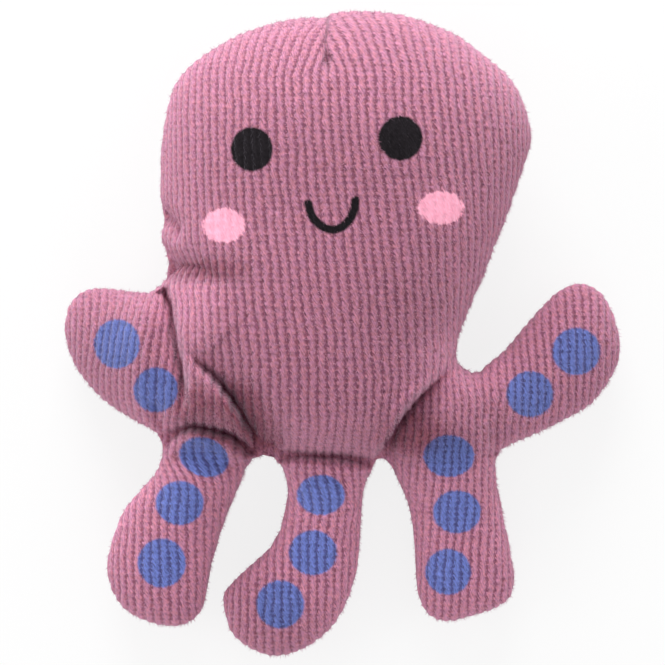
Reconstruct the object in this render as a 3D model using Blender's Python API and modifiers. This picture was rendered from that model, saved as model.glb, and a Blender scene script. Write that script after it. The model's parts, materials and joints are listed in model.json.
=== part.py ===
"""Plush octopus toy, lying on its back with its face up.

The toy is a flat sewn pouch that has been stuffed: a front panel and a back panel meet at a
seam all round, and a stuffed head carries five stubby limbs. Each limb folds about the crease
at its root, so head and limbs are separate bodies that meet there: the limb's root is a round
roll, and the head has a groove of the same shape for it.

Metres. +Z comes out of the face, +Y points to the top of the head and +X to the viewer's right.
The origin lies on the surface that the toy rests on, under the middle of its outline.
"""

from dataclasses import dataclass
from math import atan2, copysign, cos, pi, radians

import bmesh
import bpy
from mathutils import Matrix, Vector

# Head
HEAD_WIDTH = 0.1375
HEAD_LENGTH = 0.1660
HEAD_FRONT_DEPTH = 0.0365
HEAD_BACK_DEPTH = 0.0290
HEAD_MIDDLE_X = 0.0006
HEAD_FOOT_Y = -0.0456

# Limbs, each measured from the middle of the crease at its root
LEFT_ARM_LENGTH = 0.0395
LEFT_ARM_WIDTH = 0.0450
LEFT_ARM_X = -0.0660
LEFT_ARM_Y = -0.0105
LEFT_LEG_LENGTH = 0.0680
LEFT_LEG_WIDTH = 0.0350
LEFT_LEG_X = -0.0480
LEFT_LEG_Y = -0.0450
MIDDLE_LEG_LENGTH = 0.0750
MIDDLE_LEG_WIDTH = 0.0350
MIDDLE_LEG_X = -0.0069
MIDDLE_LEG_Y = -0.0474
RIGHT_LEG_LENGTH = 0.0655
RIGHT_LEG_WIDTH = 0.0350
RIGHT_LEG_X = 0.0356
RIGHT_LEG_Y = -0.0452
RIGHT_ARM_LENGTH = 0.0635
RIGHT_ARM_WIDTH = 0.0310
RIGHT_ARM_X = 0.0500
RIGHT_ARM_Y = -0.0238
LIMB_THICKNESS = 0.0255
LIMB_TIP_HEIGHT = 0.0100
ROOT_RADIUS = 0.0095

# Directions in which the limbs point, counted from +X towards +Y
LEFT_ARM_TURN = radians(178.0)
LEFT_LEG_TURN = radians(263.0)
MIDDLE_LEG_TURN = radians(269.0)
RIGHT_LEG_TURN = radians(278.0)
RIGHT_ARM_TURN = radians(26.0)

# Cloth, and the room that neighbours leave each other
COVER_THICKNESS = 0.0024
SEAT_GAP = 0.0003
FILLING_GAP = 0.0006
FLAT_DEPTH = 0.0005
LEG_SOCKET_MARGIN = 0.0010
ARM_SOCKET_MARGIN = 0.0060
CUTTER_OVERRUN = 0.0200

HEAD_CORNERS = 12
LIMB_CORNERS = 8
SMOOTH_LEVELS = 1
SOCKET_SIDES = 24

# A smoothed ring lies inside the ring of corners that it is made from, by this share
HEAD_CAGE_SHARE = 1.060
LIMB_CAGE_SHARE = 1.070

# How sharply a section's front and back come to the seam: 1 is an ellipse, more is a flatter pillow
HEAD_SECTION_POWERS = (1.22, 1.26)
LIMB_SECTION_POWERS = (1.15, 1.10)

# Along the head from foot to crown, in shares of its length: the middle and the width in shares
# of its width, and its fullness in shares of its depths
HEAD_STATION_SHARES = (
    (0.000, -0.030, 0.830, 0.14),
    (0.055, -0.040, 0.915, 0.60),
    (0.105, -0.060, 0.860, 0.78),
    (0.160, -0.095, 0.800, 0.90),
    (0.380, -0.065, 0.835, 1.00),
    (0.630, 0.000, 1.005, 1.00),
    (0.810, 0.008, 0.980, 0.92),
    (0.930, 0.005, 0.735, 0.66),
    (0.990, 0.035, 0.360, 0.30),
)

# How far the front corners of those stations stand out, from the right flank to the left one.
# The low ones are the folds that run from both sides of the head down to the middle leg.
HEAD_FRONT_SHARES = (
    (1.00, 1.00, 1.00, 1.00, 1.00),
    (1.70, 0.70, 1.08, 0.78, 1.10),
    (1.10, 0.84, 1.03, 0.86, 1.20),
    (0.68, 1.04, 1.00, 0.94, 1.00),
    (1.00, 1.00, 1.00, 1.05, 1.02),
    (1.00, 1.00, 1.00, 1.00, 1.00),
    (1.00, 1.00, 1.00, 1.00, 1.00),
    (1.00, 1.00, 1.00, 1.00, 1.00),
    (1.00, 1.00, 1.00, 1.00, 1.00),
)

# Along a limb from crease to tip, in shares of its length: how high its middle lies, in shares
# of the drop from seam to tip, and its thickness in shares of the limb's thickness
DROP_SHARES = (1.00, 0.50, 0.10, 0.00)
THICKNESS_SHARES = (0.72, 1.00, 1.04, 0.84)
LIMB_FRONT_SHARES = (1.00, 1.00, 1.00)

# The same four stations of each limb: distance along it, middle and width in shares
LEFT_ARM_SHARES = (
    (0.00, 0.000, 1.000),
    (0.34, 0.050, 1.120),
    (0.68, 0.150, 0.950),
    (0.90, 0.270, 0.620),
)
LEFT_LEG_SHARES = (
    (0.00, 0.000, 1.000),
    (0.34, 0.280, 1.080),
    (0.66, 0.430, 1.180),
    (0.88, 0.370, 1.100),
)
MIDDLE_LEG_SHARES = (
    (0.00, 0.000, 1.000),
    (0.34, -0.050, 0.880),
    (0.66, 0.250, 1.250),
    (0.89, 0.580, 1.120),
)
RIGHT_LEG_SHARES = (
    (0.00, 0.000, 1.000),
    (0.34, -0.100, 0.990),
    (0.66, -0.180, 1.130),
    (0.89, -0.130, 1.000),
)
RIGHT_ARM_SHARES = (
    (0.00, 0.000, 1.000),
    (0.34, 0.120, 1.060),
    (0.66, 0.030, 1.360),
    (0.88, -0.240, 1.150),
)
# The round roll behind the crease, in shares of its radius and of the limb's width
ROLL_END_SHARE = 1.12
ROLL_REACH_SHARE = 0.80
ROLL_HEIGHT_SHARE = 0.74
ROLL_WIDTH_SHARE = 0.86

PLUSH = (0.42, 0.19, 0.27, 1.0)
FILLING = (0.86, 0.85, 0.82, 1.0)

SEAM_HEIGHT = HEAD_BACK_DEPTH - FLAT_DEPTH


@dataclass(frozen=True)
class Limb:
    """One limb: its size, the middle of its root crease and the way that it points."""

    name: str
    length: float
    width: float
    x: float
    y: float
    turn: float
    socket_margin: float
    stations: tuple


LIMBS = (
    Limb("left_arm", LEFT_ARM_LENGTH, LEFT_ARM_WIDTH, LEFT_ARM_X, LEFT_ARM_Y, LEFT_ARM_TURN,
         ARM_SOCKET_MARGIN, LEFT_ARM_SHARES),
    Limb("left_leg", LEFT_LEG_LENGTH, LEFT_LEG_WIDTH, LEFT_LEG_X, LEFT_LEG_Y, LEFT_LEG_TURN,
         LEG_SOCKET_MARGIN, LEFT_LEG_SHARES),
    Limb("middle_leg", MIDDLE_LEG_LENGTH, MIDDLE_LEG_WIDTH, MIDDLE_LEG_X, MIDDLE_LEG_Y,
         MIDDLE_LEG_TURN, LEG_SOCKET_MARGIN, MIDDLE_LEG_SHARES),
    Limb("right_leg", RIGHT_LEG_LENGTH, RIGHT_LEG_WIDTH, RIGHT_LEG_X, RIGHT_LEG_Y,
         RIGHT_LEG_TURN, LEG_SOCKET_MARGIN, RIGHT_LEG_SHARES),
    Limb("right_arm", RIGHT_ARM_LENGTH, RIGHT_ARM_WIDTH, RIGHT_ARM_X, RIGHT_ARM_Y,
         RIGHT_ARM_TURN, ARM_SOCKET_MARGIN, RIGHT_ARM_SHARES),
)


def clear_scene():
    """Removes every object that the scene starts with."""
    for item in list(bpy.data.objects):
        bpy.data.objects.remove(item, do_unlink=True)


def new_collection(name):
    """Makes a collection in the scene."""
    collection = bpy.data.collections.new(name)
    bpy.context.scene.collection.children.link(collection)
    return collection


def new_material(name, colour, roughness):
    """Makes a plain cloth or fibre material."""
    material = bpy.data.materials.new(name)
    material.use_nodes = True
    material.diffuse_color = colour
    shader = material.node_tree.nodes["Principled BSDF"]
    shader.inputs["Base Color"].default_value = colour
    shader.inputs["Roughness"].default_value = roughness
    shader.inputs["Metallic"].default_value = 0.0
    return material


def limb_frame(limb):
    """The limb's own axes at its crease: +Y runs to its tip, +Z out of its front."""
    quarter = pi / 2
    return Matrix.Translation((limb.x, limb.y, SEAM_HEIGHT)) @ Matrix.Rotation(
        limb.turn - quarter, 4, "Z"
    )


def bulge(value, power):
    """Raises a sine to a power and keeps its sign."""
    return copysign(abs(value) ** power, value)


def ring_of_corners(form, corners, section, powers, cage_share):
    """Adds one ring of a form: a circle of corners, shaped to its width and its two depths."""
    along, middle, half_width, low, high, centre_height, front_shares = section
    front_power, back_power = powers
    ring = bmesh.ops.create_circle(form, segments=corners, radius=1.0)["verts"]
    for vert in ring:
        place_in_ring = round(atan2(vert.co.y, vert.co.x) * corners / (2 * pi))
        in_front = 0 < place_in_ring < corners / 2
        across, rise = vert.co.x, bulge(vert.co.y, front_power if in_front else back_power)
        depth = high * front_shares[place_in_ring - 1] if in_front else low
        vert.co = Vector((
            middle + across * half_width * cage_share,
            along,
            centre_height + rise * depth * cage_share,
        ))
    return ring


def ring_edges(ring):
    """The edges that join the corners of one ring."""
    corners = set(ring)
    return [edge for edge in {e for vert in ring for e in vert.link_edges}
            if edge.verts[0] in corners and edge.verts[1] in corners]


def close_end(form, ring, point):
    """Closes a ring with a fan of faces that meet at a point."""
    cap = bmesh.ops.contextual_create(form, geom=ring_edges(ring))["faces"]
    tip = bmesh.ops.poke(form, faces=cap)["verts"][0]
    tip.co = point


def puffed_cage(name, sections, ends, corners, powers, cage_share):
    """Lofts a closed cage through its sections and closes both of its ends."""
    form = bmesh.new()
    rings = [ring_of_corners(form, corners, s, powers, cage_share) for s in sections]
    for first, second in zip(rings, rings[1:]):
        bmesh.ops.bridge_loops(form, edges=ring_edges(first) + ring_edges(second))
    close_end(form, rings[0], Vector(ends[0]))
    close_end(form, rings[-1], Vector(ends[1]))
    bmesh.ops.recalc_face_normals(form, faces=form.faces)
    mesh = bpy.data.meshes.new(name)
    form.to_mesh(mesh)
    form.free()
    return mesh


def head_sections(inset):
    """The head's sections from foot to crown, drawn in all round by an inset."""
    length = HEAD_LENGTH - 2 * inset
    sections = []
    for station, front_shares in zip(HEAD_STATION_SHARES, HEAD_FRONT_SHARES):
        along, middle, width, fullness = station
        half_width = width * HEAD_WIDTH / 2 - inset
        low = fullness * HEAD_BACK_DEPTH - inset
        high = fullness * HEAD_FRONT_DEPTH - inset
        sections.append((HEAD_FOOT_Y + inset + along * length, HEAD_MIDDLE_X + middle * HEAD_WIDTH,
                         half_width, low, high, SEAM_HEIGHT, front_shares))
    first, last = sections[0], sections[-1]
    ends = ((first[1], first[0] - SEAT_GAP, SEAM_HEIGHT),
            (last[1], HEAD_FOOT_Y + HEAD_LENGTH - inset, SEAM_HEIGHT))
    return sections, ends


def limb_sections(limb, inset):
    """A limb's sections in its own axes, from the roll behind its crease to its tip."""
    drop = SEAM_HEIGHT - LIMB_TIP_HEIGHT
    root_height = ROOT_RADIUS - inset
    roll = ROLL_REACH_SHARE * root_height
    sections = [(-roll, 0.0, ROLL_WIDTH_SHARE * limb.width / 2 - inset,
                 ROLL_HEIGHT_SHARE * root_height, ROLL_HEIGHT_SHARE * root_height, 0.0,
                 LIMB_FRONT_SHARES)]
    for (along, middle, width), lift, fullness in zip(limb.stations, DROP_SHARES, THICKNESS_SHARES):
        half = fullness * LIMB_THICKNESS / 2 - inset
        half_width = width * limb.width / 2 - inset
        sections.append((along * limb.length, middle * limb.width, half_width, half, half,
                         (lift - 1.0) * drop, LIMB_FRONT_SHARES))
    last = sections[-1]
    ends = ((0.0, -ROLL_END_SHARE * root_height, 0.0), (last[1], limb.length - inset, last[5]))
    return sections, ends


def place(name, mesh, material, collection, frame):
    """Puts a mesh in the scene as one smooth-shaded, smoothed piece."""
    piece = bpy.data.objects.new(name, mesh)
    mesh.materials.append(material)
    mesh.shade_smooth()
    piece.matrix_world = frame
    collection.objects.link(piece)
    smooth = piece.modifiers.new("Smooth", "SUBSURF")
    smooth.levels = SMOOTH_LEVELS
    smooth.render_levels = SMOOTH_LEVELS
    return piece


def hide_cutter(cutter, collection):
    """Marks an object as a cutter and files it with the others."""
    for home in list(cutter.users_collection):
        home.objects.unlink(cutter)
    collection.objects.link(cutter)
    cutter.hide_render = True
    cutter.display_type = "WIRE"
    return cutter


def box_cutter(name, low, high, frame, collection):
    """Makes a box between two corners given in a frame."""
    low, high = Vector(low), Vector(high)
    bpy.ops.mesh.primitive_cube_add(size=1.0)
    cutter = bpy.context.object
    cutter.name = name
    size = high - low
    cutter.data.transform(Matrix.Translation((low + high) / 2) @ Matrix.Diagonal(size).to_4x4())
    cutter.matrix_world = frame
    return hide_cutter(cutter, collection)


def socket_cutter(limb, collection):
    """Makes the round groove that one limb's root turns in, with its gap."""
    bpy.ops.mesh.primitive_cylinder_add(
        vertices=SOCKET_SIDES,
        radius=(ROOT_RADIUS + SEAT_GAP) / cos(pi / SOCKET_SIDES),
        depth=limb.width + 2 * limb.socket_margin,
    )
    cutter = bpy.context.object
    cutter.name = limb.name + "_socket_cutter"
    cutter.data.transform(Matrix.Rotation(pi / 2, 4, "Y"))
    cutter.matrix_world = limb_frame(limb)
    return hide_cutter(cutter, collection)


def joined_sockets(collection):
    """Makes the grooves of all the limbs as one cutter."""
    first, *others = [socket_cutter(limb, collection) for limb in LIMBS]
    for other in others:
        cut(first, other, "UNION")
    return first


def cut(piece, cutter, operation="DIFFERENCE", solver="EXACT"):
    """Cuts a piece by a closed cutter."""
    boolean = piece.modifiers.new(cutter.name, "BOOLEAN")
    boolean.operation = operation
    boolean.solver = solver
    boolean.object = cutter


def seam_cutters(name, tilt_frame, reach, collection):
    """The two boxes that keep the front half and the back half of a covered form."""
    gap = SEAT_GAP / 2
    front = box_cutter(name + "_front_half_cutter", (-reach, -reach, gap), (reach, reach, reach),
                       tilt_frame, collection)
    back = box_cutter(name + "_back_half_cutter", (-reach, -reach, -reach), (reach, reach, -gap),
                      tilt_frame, collection)
    return front, back


def build_head(parts, cutters, plush, filling, sockets, floor):
    """Builds the head: a front panel, a back panel and the filling between them.

    The manifold solver cuts them, because the exact one loses parts of them.
    """
    corners, powers, cage = HEAD_CORNERS, HEAD_SECTION_POWERS, HEAD_CAGE_SHARE
    seam_frame = Matrix.Translation((0.0, 0.0, SEAM_HEIGHT))
    halves = seam_cutters("head", seam_frame, HEAD_LENGTH, cutters)
    mesh = puffed_cage("head_cavity", *head_sections(COVER_THICKNESS), corners, powers, cage)
    cavity = hide_cutter(place("head_cavity_cutter", mesh, filling, parts, Matrix()), cutters)
    for name, half in zip(("head_front_panel", "head_back_panel"), halves):
        mesh = puffed_cage(name, *head_sections(0.0), corners, powers, cage)
        panel = place(name, mesh, plush, parts, Matrix())
        cut(panel, half, "INTERSECT", "MANIFOLD")
        cut(panel, sockets, "DIFFERENCE", "MANIFOLD")
        if name == "head_back_panel":
            cut(panel, floor, "DIFFERENCE", "MANIFOLD")
        cut(panel, cavity, "DIFFERENCE", "MANIFOLD")
    inset = COVER_THICKNESS + FILLING_GAP
    mesh = puffed_cage("head_filling", *head_sections(inset), corners, powers, cage)
    core = place("head_filling", mesh, filling, parts, Matrix())
    cut(core, sockets, "DIFFERENCE", "MANIFOLD")


def build_limb(limb, parts, cutters, plush, filling, floor):
    """Builds one limb: a front panel, a back panel and the filling between them."""
    corners, powers, cage = LIMB_CORNERS, LIMB_SECTION_POWERS, LIMB_CAGE_SHARE
    frame = limb_frame(limb)
    fall = (SEAM_HEIGHT - LIMB_TIP_HEIGHT) / limb.length
    tilt = Vector((0.0, 1.0, -fall)).normalized()
    seam_frame = frame @ Vector((0.0, 1.0, 0.0)).rotation_difference(tilt).to_matrix().to_4x4()
    halves = seam_cutters(limb.name, seam_frame, limb.length + CUTTER_OVERRUN, cutters)
    name = limb.name + "_cavity"
    mesh = puffed_cage(name, *limb_sections(limb, COVER_THICKNESS), corners, powers, cage)
    cavity = hide_cutter(place(name + "_cutter", mesh, filling, parts, frame), cutters)
    for side, half in zip(("front", "back"), halves):
        name = limb.name + "_" + side + "_panel"
        mesh = puffed_cage(name, *limb_sections(limb, 0.0), corners, powers, cage)
        panel = place(name, mesh, plush, parts, frame)
        cut(panel, half, "INTERSECT")
        cut(panel, cavity)
        if side == "back":
            cut(panel, floor)
    inset = COVER_THICKNESS + FILLING_GAP
    name = limb.name + "_filling"
    mesh = puffed_cage(name, *limb_sections(limb, inset), corners, powers, cage)
    place(name, mesh, filling, parts, frame)


def main():
    """Builds the whole toy."""
    clear_scene()
    parts = new_collection("plush_octopus")
    cutters = new_collection("cutters")
    plush = new_material("ribbed_plush", PLUSH, 0.95)
    filling = new_material("polyester_filling", FILLING, 1.0)
    span = HEAD_LENGTH + MIDDLE_LEG_LENGTH
    floor = box_cutter("floor_cutter", (-span, -span, -CUTTER_OVERRUN), (span, span, 0.0),
                       Matrix(), cutters)
    sockets = joined_sockets(cutters)
    build_head(parts, cutters, plush, filling, sockets, floor)
    for limb in LIMBS:
        build_limb(limb, parts, cutters, plush, filling, floor)


main()
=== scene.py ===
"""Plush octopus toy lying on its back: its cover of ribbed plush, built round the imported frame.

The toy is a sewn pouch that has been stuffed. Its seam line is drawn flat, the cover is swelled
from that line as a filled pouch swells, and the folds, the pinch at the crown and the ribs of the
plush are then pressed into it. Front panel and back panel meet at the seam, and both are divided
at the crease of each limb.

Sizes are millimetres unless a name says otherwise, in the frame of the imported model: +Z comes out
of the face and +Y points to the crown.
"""

import json
import logging
import math
from collections.abc import Callable, Sequence
from dataclasses import dataclass, field
from enum import Enum

import bmesh
import bpy
import numpy as np
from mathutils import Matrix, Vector


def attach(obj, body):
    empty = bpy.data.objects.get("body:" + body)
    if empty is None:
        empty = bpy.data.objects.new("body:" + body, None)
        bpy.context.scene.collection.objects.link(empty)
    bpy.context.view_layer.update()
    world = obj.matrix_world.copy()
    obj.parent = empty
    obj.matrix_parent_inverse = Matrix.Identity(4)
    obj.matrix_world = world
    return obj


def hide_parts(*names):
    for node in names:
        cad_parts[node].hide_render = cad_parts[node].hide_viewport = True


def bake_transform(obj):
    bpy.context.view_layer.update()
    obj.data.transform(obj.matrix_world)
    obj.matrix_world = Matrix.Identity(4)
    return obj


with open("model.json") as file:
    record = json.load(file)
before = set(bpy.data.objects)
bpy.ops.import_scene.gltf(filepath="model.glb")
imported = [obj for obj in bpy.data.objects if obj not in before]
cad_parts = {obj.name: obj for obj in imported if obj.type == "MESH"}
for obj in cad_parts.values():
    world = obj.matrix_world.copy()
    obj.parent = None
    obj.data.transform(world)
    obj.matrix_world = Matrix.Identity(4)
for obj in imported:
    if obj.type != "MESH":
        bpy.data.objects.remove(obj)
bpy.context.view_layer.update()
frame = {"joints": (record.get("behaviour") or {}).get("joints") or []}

MM = 0.001
RANDOM_SEED = 11

Array = np.ndarray
Point = tuple[float, float]
Socket = bpy.types.NodeSocket
log = logging.getLogger("plush_octopus")


class Side(Enum):
    """The two panels that the seam joins."""

    FRONT = "front"
    BACK = "back"


class Ink(Enum):
    """The inks of the print, each named as the number that the cover stores for it."""

    BLUE = "blue_ink"
    PINK = "pink_ink"
    BLACK = "black_ink"


class Fibre(Enum):
    """The kinds of loose fibre, each with the place of its material on a panel."""

    PILE = 0
    BLUE = 1
    PINK = 2
    BLACK = 3
    # SHADED is painted shade: the pile's fibre in a darker colour, for the places painted darkest
    SHADED = 4


def linear(hex_colour: str) -> tuple[float, float, float, float]:
    """Turns an sRGB colour into the linear one that shaders use.

    Args:
        hex_colour: six hex digits after a hash sign.

    Returns:
        Linear red, green and blue, with an alpha of 1.
    """
    channels = [int(hex_colour[at:at + 2], 16) / 255 for at in (1, 3, 5)]
    return (*[c / 12.92 if c <= 0.04045 else ((c + 0.055) / 1.055) ** 2.4 for c in channels], 1.0)


def smooth_step(share: Array | float) -> Array:
    """Eases a share from 0 to 1, held at both ends."""
    t = np.clip(share, 0.0, 1.0)
    return t * t * (3.0 - 2.0 * t)


def smooth_path(points: Sequence[Point], pieces: int, closed: bool) -> Array:
    """Draws a smooth curve through points, with a cubic for each span.

    Args:
        points: the points, in order.
        pieces: how many steps each span is divided into.
        closed: whether the last point joins the first.

    Returns:
        The points of the curve, one row each.
    """
    given = np.array(points, float)
    if closed:
        given = np.vstack([given[-1:], given, given[:2]])
    else:
        given = np.vstack([2 * given[:1] - given[1:2], given, 2 * given[-1:] - given[-2:-1]])
    t = (np.arange(pieces) / pieces)[:, None]
    spans = []
    for a, b, c, d in zip(given, given[1:], given[2:], given[3:]):
        spans.append(0.5 * (2 * b + (c - a) * t + (2 * a - 5 * b + 4 * c - d) * t ** 2
                            + (3 * b - a - 3 * c + d) * t ** 3))
    if not closed:
        spans.append(given[-2:-1])
    return np.vstack(spans)


def distance_to_path(x: Array, y: Array, path: Array) -> tuple[Array, Array, Array]:
    """Measures how far places lie from a path of straight steps.

    Args:
        x: the places' x.
        y: the places' y.
        path: the path's points, one row each.

    Returns:
        The distance, the share of the path's length where the nearest point lies, and which side
        of the path the place is on: positive to its left.
    """
    start, step = path[:-1], np.diff(path, axis=0)
    length = np.maximum(np.linalg.norm(step, axis=1), 1e-9)
    before = np.concatenate([[0.0], np.cumsum(length)])
    best = np.full(x.shape, np.inf)
    share, side = np.zeros(x.shape), np.zeros(x.shape)
    for (px, py), (sx, sy), run, done in zip(start, step, length, before):
        t = np.clip(((x - px) * sx + (y - py) * sy) / run ** 2, 0.0, 1.0)
        dx, dy = x - px - t * sx, y - py - t * sy
        apart = np.hypot(dx, dy)
        nearer = apart < best
        best = np.where(nearer, apart, best)
        share = np.where(nearer, (done + t * run) / before[-1], share)
        side = np.where(nearer, (sx * dy - sy * dx) / run, side)
    return best, share, side


@dataclass(frozen=True)
class Field:
    """Values on a square grid over the plan, read between its points by a cubic curve.

    Attributes:
        x0: the grid's lowest x.
        y0: its lowest y.
        step: how far apart its points lie.
        values: the values, one row for each y.
    """

    x0: float
    y0: float
    step: float
    values: Array

    def at(self, x: Array, y: Array) -> Array:
        """Reads the field.

        Args:
            x: the places' x.
            y: the places' y.

        Returns:
            One value for each place.
        """
        rows, columns = self.values.shape
        gx = np.clip((x - self.x0) / self.step, 1.0, columns - 2.001)
        gy = np.clip((y - self.y0) / self.step, 1.0, rows - 2.001)
        ix, iy = np.floor(gx).astype(int), np.floor(gy).astype(int)
        across, up = self._weights(gx - ix), self._weights(gy - iy)
        total = np.zeros(np.shape(gx))
        for j, weight_up in enumerate(up):
            row = sum(w * self.values[iy + j - 1, ix + i - 1] for i, w in enumerate(across))
            total += weight_up * row
        return total

    @staticmethod
    def _weights(t: Array) -> tuple[Array, Array, Array, Array]:
        """The weights of the four grid points round a place."""
        return (0.5 * (-t ** 3 + 2 * t ** 2 - t), 0.5 * (3 * t ** 3 - 5 * t ** 2 + 2),
                0.5 * (-3 * t ** 3 + 4 * t ** 2 + t), 0.5 * (t ** 3 - t ** 2))

    def slopes(self) -> "tuple[Field, Field]":
        """Works out the field's slopes.

        Returns:
            The slope along x and the slope along y.
        """
        up, across = np.gradient(self.values, self.step)
        return (Field(self.x0, self.y0, self.step, across),
                Field(self.x0, self.y0, self.step, up))


def random_field(random: np.random.Generator, step: float) -> Field:
    """Makes a field of smooth random waves, from about -1 to 1.

    Args:
        random: the source of the values.
        step: how far apart the values lie, which sets the waves' size.

    Returns:
        The field.
    """
    reach = 150.0
    count = int(2 * reach / step) + 4
    return Field(-reach, -reach, step, random.uniform(-1.0, 1.0, (count, count)))


# how fast the wedge that a limb grows in widens beyond its crease, on each side
WEDGE = 0.5


@dataclass(frozen=True)
class Limb:
    """One limb as its joint gives it, with the stretch of the seam line that goes round it.

    Attributes:
        name: the limb's name, which is its body's name too.
        edge: points of the seam line round the limb, clockwise as seen from the front.
        spine: where the middle of the limb runs, from its crease to its tip.
        reach: how far the crease runs to either side of the joint, along its axis.
        softness: how gently the limb starts to droop at its crease.
        tightness: how much thinner the pouch is at the crease than it would be without it.
    """

    name: str
    edge: tuple[Point, ...]
    spine: tuple[Point, ...]
    reach: tuple[float, float]
    softness: float
    tightness: float

    @property
    def joint(self) -> dict:
        """The limb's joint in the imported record."""
        return next(j for j in frame["joints"] if j["child"] == self.name)

    @property
    def root(self) -> Array:
        """The middle of the crease, with the seam's height there."""
        return np.array(self.joint["pos_m"], float) / MM

    @property
    def axis(self) -> Array:
        """The direction of the crease in the plan."""
        axis = np.array(self.joint["axis"][:2], float)
        return axis / np.linalg.norm(axis)

    @property
    def outward(self) -> Array:
        """The direction in the plan in which the limb leaves the head."""
        ax, ay = self.axis
        return np.array([-ay, ax])

    def beyond(self, x: Array, y: Array) -> Array:
        """How far places lie beyond the crease, towards the limb's tip."""
        return (x - self.root[0]) * self.outward[0] + (y - self.root[1]) * self.outward[1]

    def along(self, x: Array, y: Array) -> Array:
        """How far places lie along the crease from its middle."""
        return (x - self.root[0]) * self.axis[0] + (y - self.root[1]) * self.axis[1]

    def overrun(self, x: Array, y: Array) -> Array:
        """How far places lie to the side of the wedge that the limb grows in."""
        along, spread = self.along(x, y), WEDGE * np.maximum(self.beyond(x, y), 0.0)
        return np.maximum(along - self.reach[1], self.reach[0] - along) - spread


LEFT_ARM = Limb(
    name="left_arm",
    edge=((-69.0, -37.0), (-77.9, -31.6), (-87.4, -25.6), (-94.8, -18.2), (-100.0, -10.5),
          (-102.9, -1.0), (-102.8, 7.0), (-100.2, 13.2), (-94.6, 16.9), (-87.0, 17.2),
          (-78.0, 15.9), (-71.2, 15.6)),
    spine=((-66.0, -10.5), (-82.0, -6.0), (-95.0, 3.0)),
    reach=(-33.0, 28.6),
    softness=3.0,
    tightness=0.26,
)
LEFT_LEG = Limb(
    name="left_leg",
    edge=((-35.6, -50.0), (-38.6, -57.0), (-42.6, -66.5), (-45.9, -76.5), (-48.9, -87.0),
          (-50.4, -96.0), (-52.6, -103.4), (-58.5, -108.0), (-66.5, -108.4), (-75.5, -105.6),
          (-82.6, -100.6), (-86.9, -92.0), (-87.4, -83.5), (-84.9, -74.0), (-81.2, -65.0),
          (-74.8, -57.4), (-69.0, -50.4)),
    spine=((-48.0, -45.0), (-60.0, -66.0), (-68.0, -95.0)),
    reach=(-20.6, 19.6),
    softness=3.0,
    tightness=0.44,
)
MIDDLE_LEG = Limb(
    name="middle_leg",
    edge=((10.2, -52.0), (7.7, -58.5), (7.2, -68.0), (6.6, -78.0), (5.5, -87.5), (2.8, -97.0),
          (-2.0, -106.4), (-8.5, -113.2), (-17.5, -118.2), (-26.5, -119.6), (-35.0, -116.4),
          (-41.4, -111.0), (-43.8, -103.5), (-44.6, -96.8), (-40.0, -91.0), (-33.4, -85.0),
          (-27.0, -79.0), (-23.0, -71.0), (-20.9, -62.0), (-20.8, -54.0), (-23.4, -48.4)),
    spine=((-6.9, -47.4), (-8.0, -75.0), (-25.0, -104.0)),
    reach=(-21.6, 21.2),
    softness=2.0,
    tightness=0.44,
)
RIGHT_LEG = Limb(
    name="right_leg",
    edge=((56.9, -51.0), (58.4, -60.0), (60.4, -70.0), (62.7, -81.0), (64.0, -91.0),
          (62.6, -97.6), (57.0, -101.8), (48.5, -104.6), (39.5, -106.8), (32.4, -104.8),
          (28.5, -98.6), (27.2, -89.5), (26.7, -79.0), (25.7, -69.0), (23.4, -60.4),
          (19.6, -52.2)),
    spine=((35.6, -45.2), (43.0, -72.0), (46.0, -94.0)),
    reach=(-22.2, 21.8),
    softness=6.0,
    tightness=0.12,
)
RIGHT_ARM = Limb(
    name="right_arm",
    edge=((49.6, -14.2), (54.6, -10.4), (60.6, -5.4), (67.6, 3.0), (74.5, 10.8), (80.8, 16.6),
          (88.4, 19.3), (95.6, 16.2), (99.8, 9.9), (102.4, 2.0), (103.3, -6.0), (100.8, -14.6),
          (93.0, -25.4), (82.6, -31.8), (70.6, -37.6), (61.8, -41.4)),
    spine=((50.0, -23.8), (75.0, -13.0), (90.0, 1.0)),
    reach=(-15.0, 22.6),
    softness=6.0,
    tightness=0.1,
)
LIMBS = (LEFT_ARM, LEFT_LEG, MIDDLE_LEG, RIGHT_LEG, RIGHT_ARM)

# The head's stretches of the seam line, and the corners between neighbouring limbs
CROWN = ((-71.0, 16.4), (-67.2, 18.6), (-65.4, 24.6), (-65.9, 31.0), (-67.2, 36.2),
         (-66.8, 42.0), (-67.6, 49.0), (-67.5, 58.0), (-67.3, 67.0), (-66.2, 77.0),
         (-63.6, 89.5), (-59.2, 97.0), (-50.8, 104.2), (-39.0, 110.9), (-26.0, 115.5),
         (-14.0, 117.6), (-6.4, 117.5), (-3.4, 119.5), (8.0, 120.0), (20.0, 119.0),
         (31.0, 115.9), (43.0, 110.8), (53.4, 102.9), (61.4, 96.2), (66.2, 88.6), (69.2, 79.5),
         (70.0, 71.5), (67.4, 62.6), (63.8, 52.0), (60.6, 42.6), (56.6, 33.0), (52.8, 22.6),
         (49.2, 14.6), (45.2, 4.6), (42.5, -3.0), (43.0, -10.6))
ARM_LEG_CORNER = ((-67.3, -43.4),)
LEFT_CROTCH = ((-27.6, -45.2), (-33.0, -46.4))
RIGHT_CROTCH = ((18.0, -48.8), (14.2, -45.9), (11.8, -48.6))
LEG_ARM_CORNER = ((57.6, -45.0),)


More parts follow.
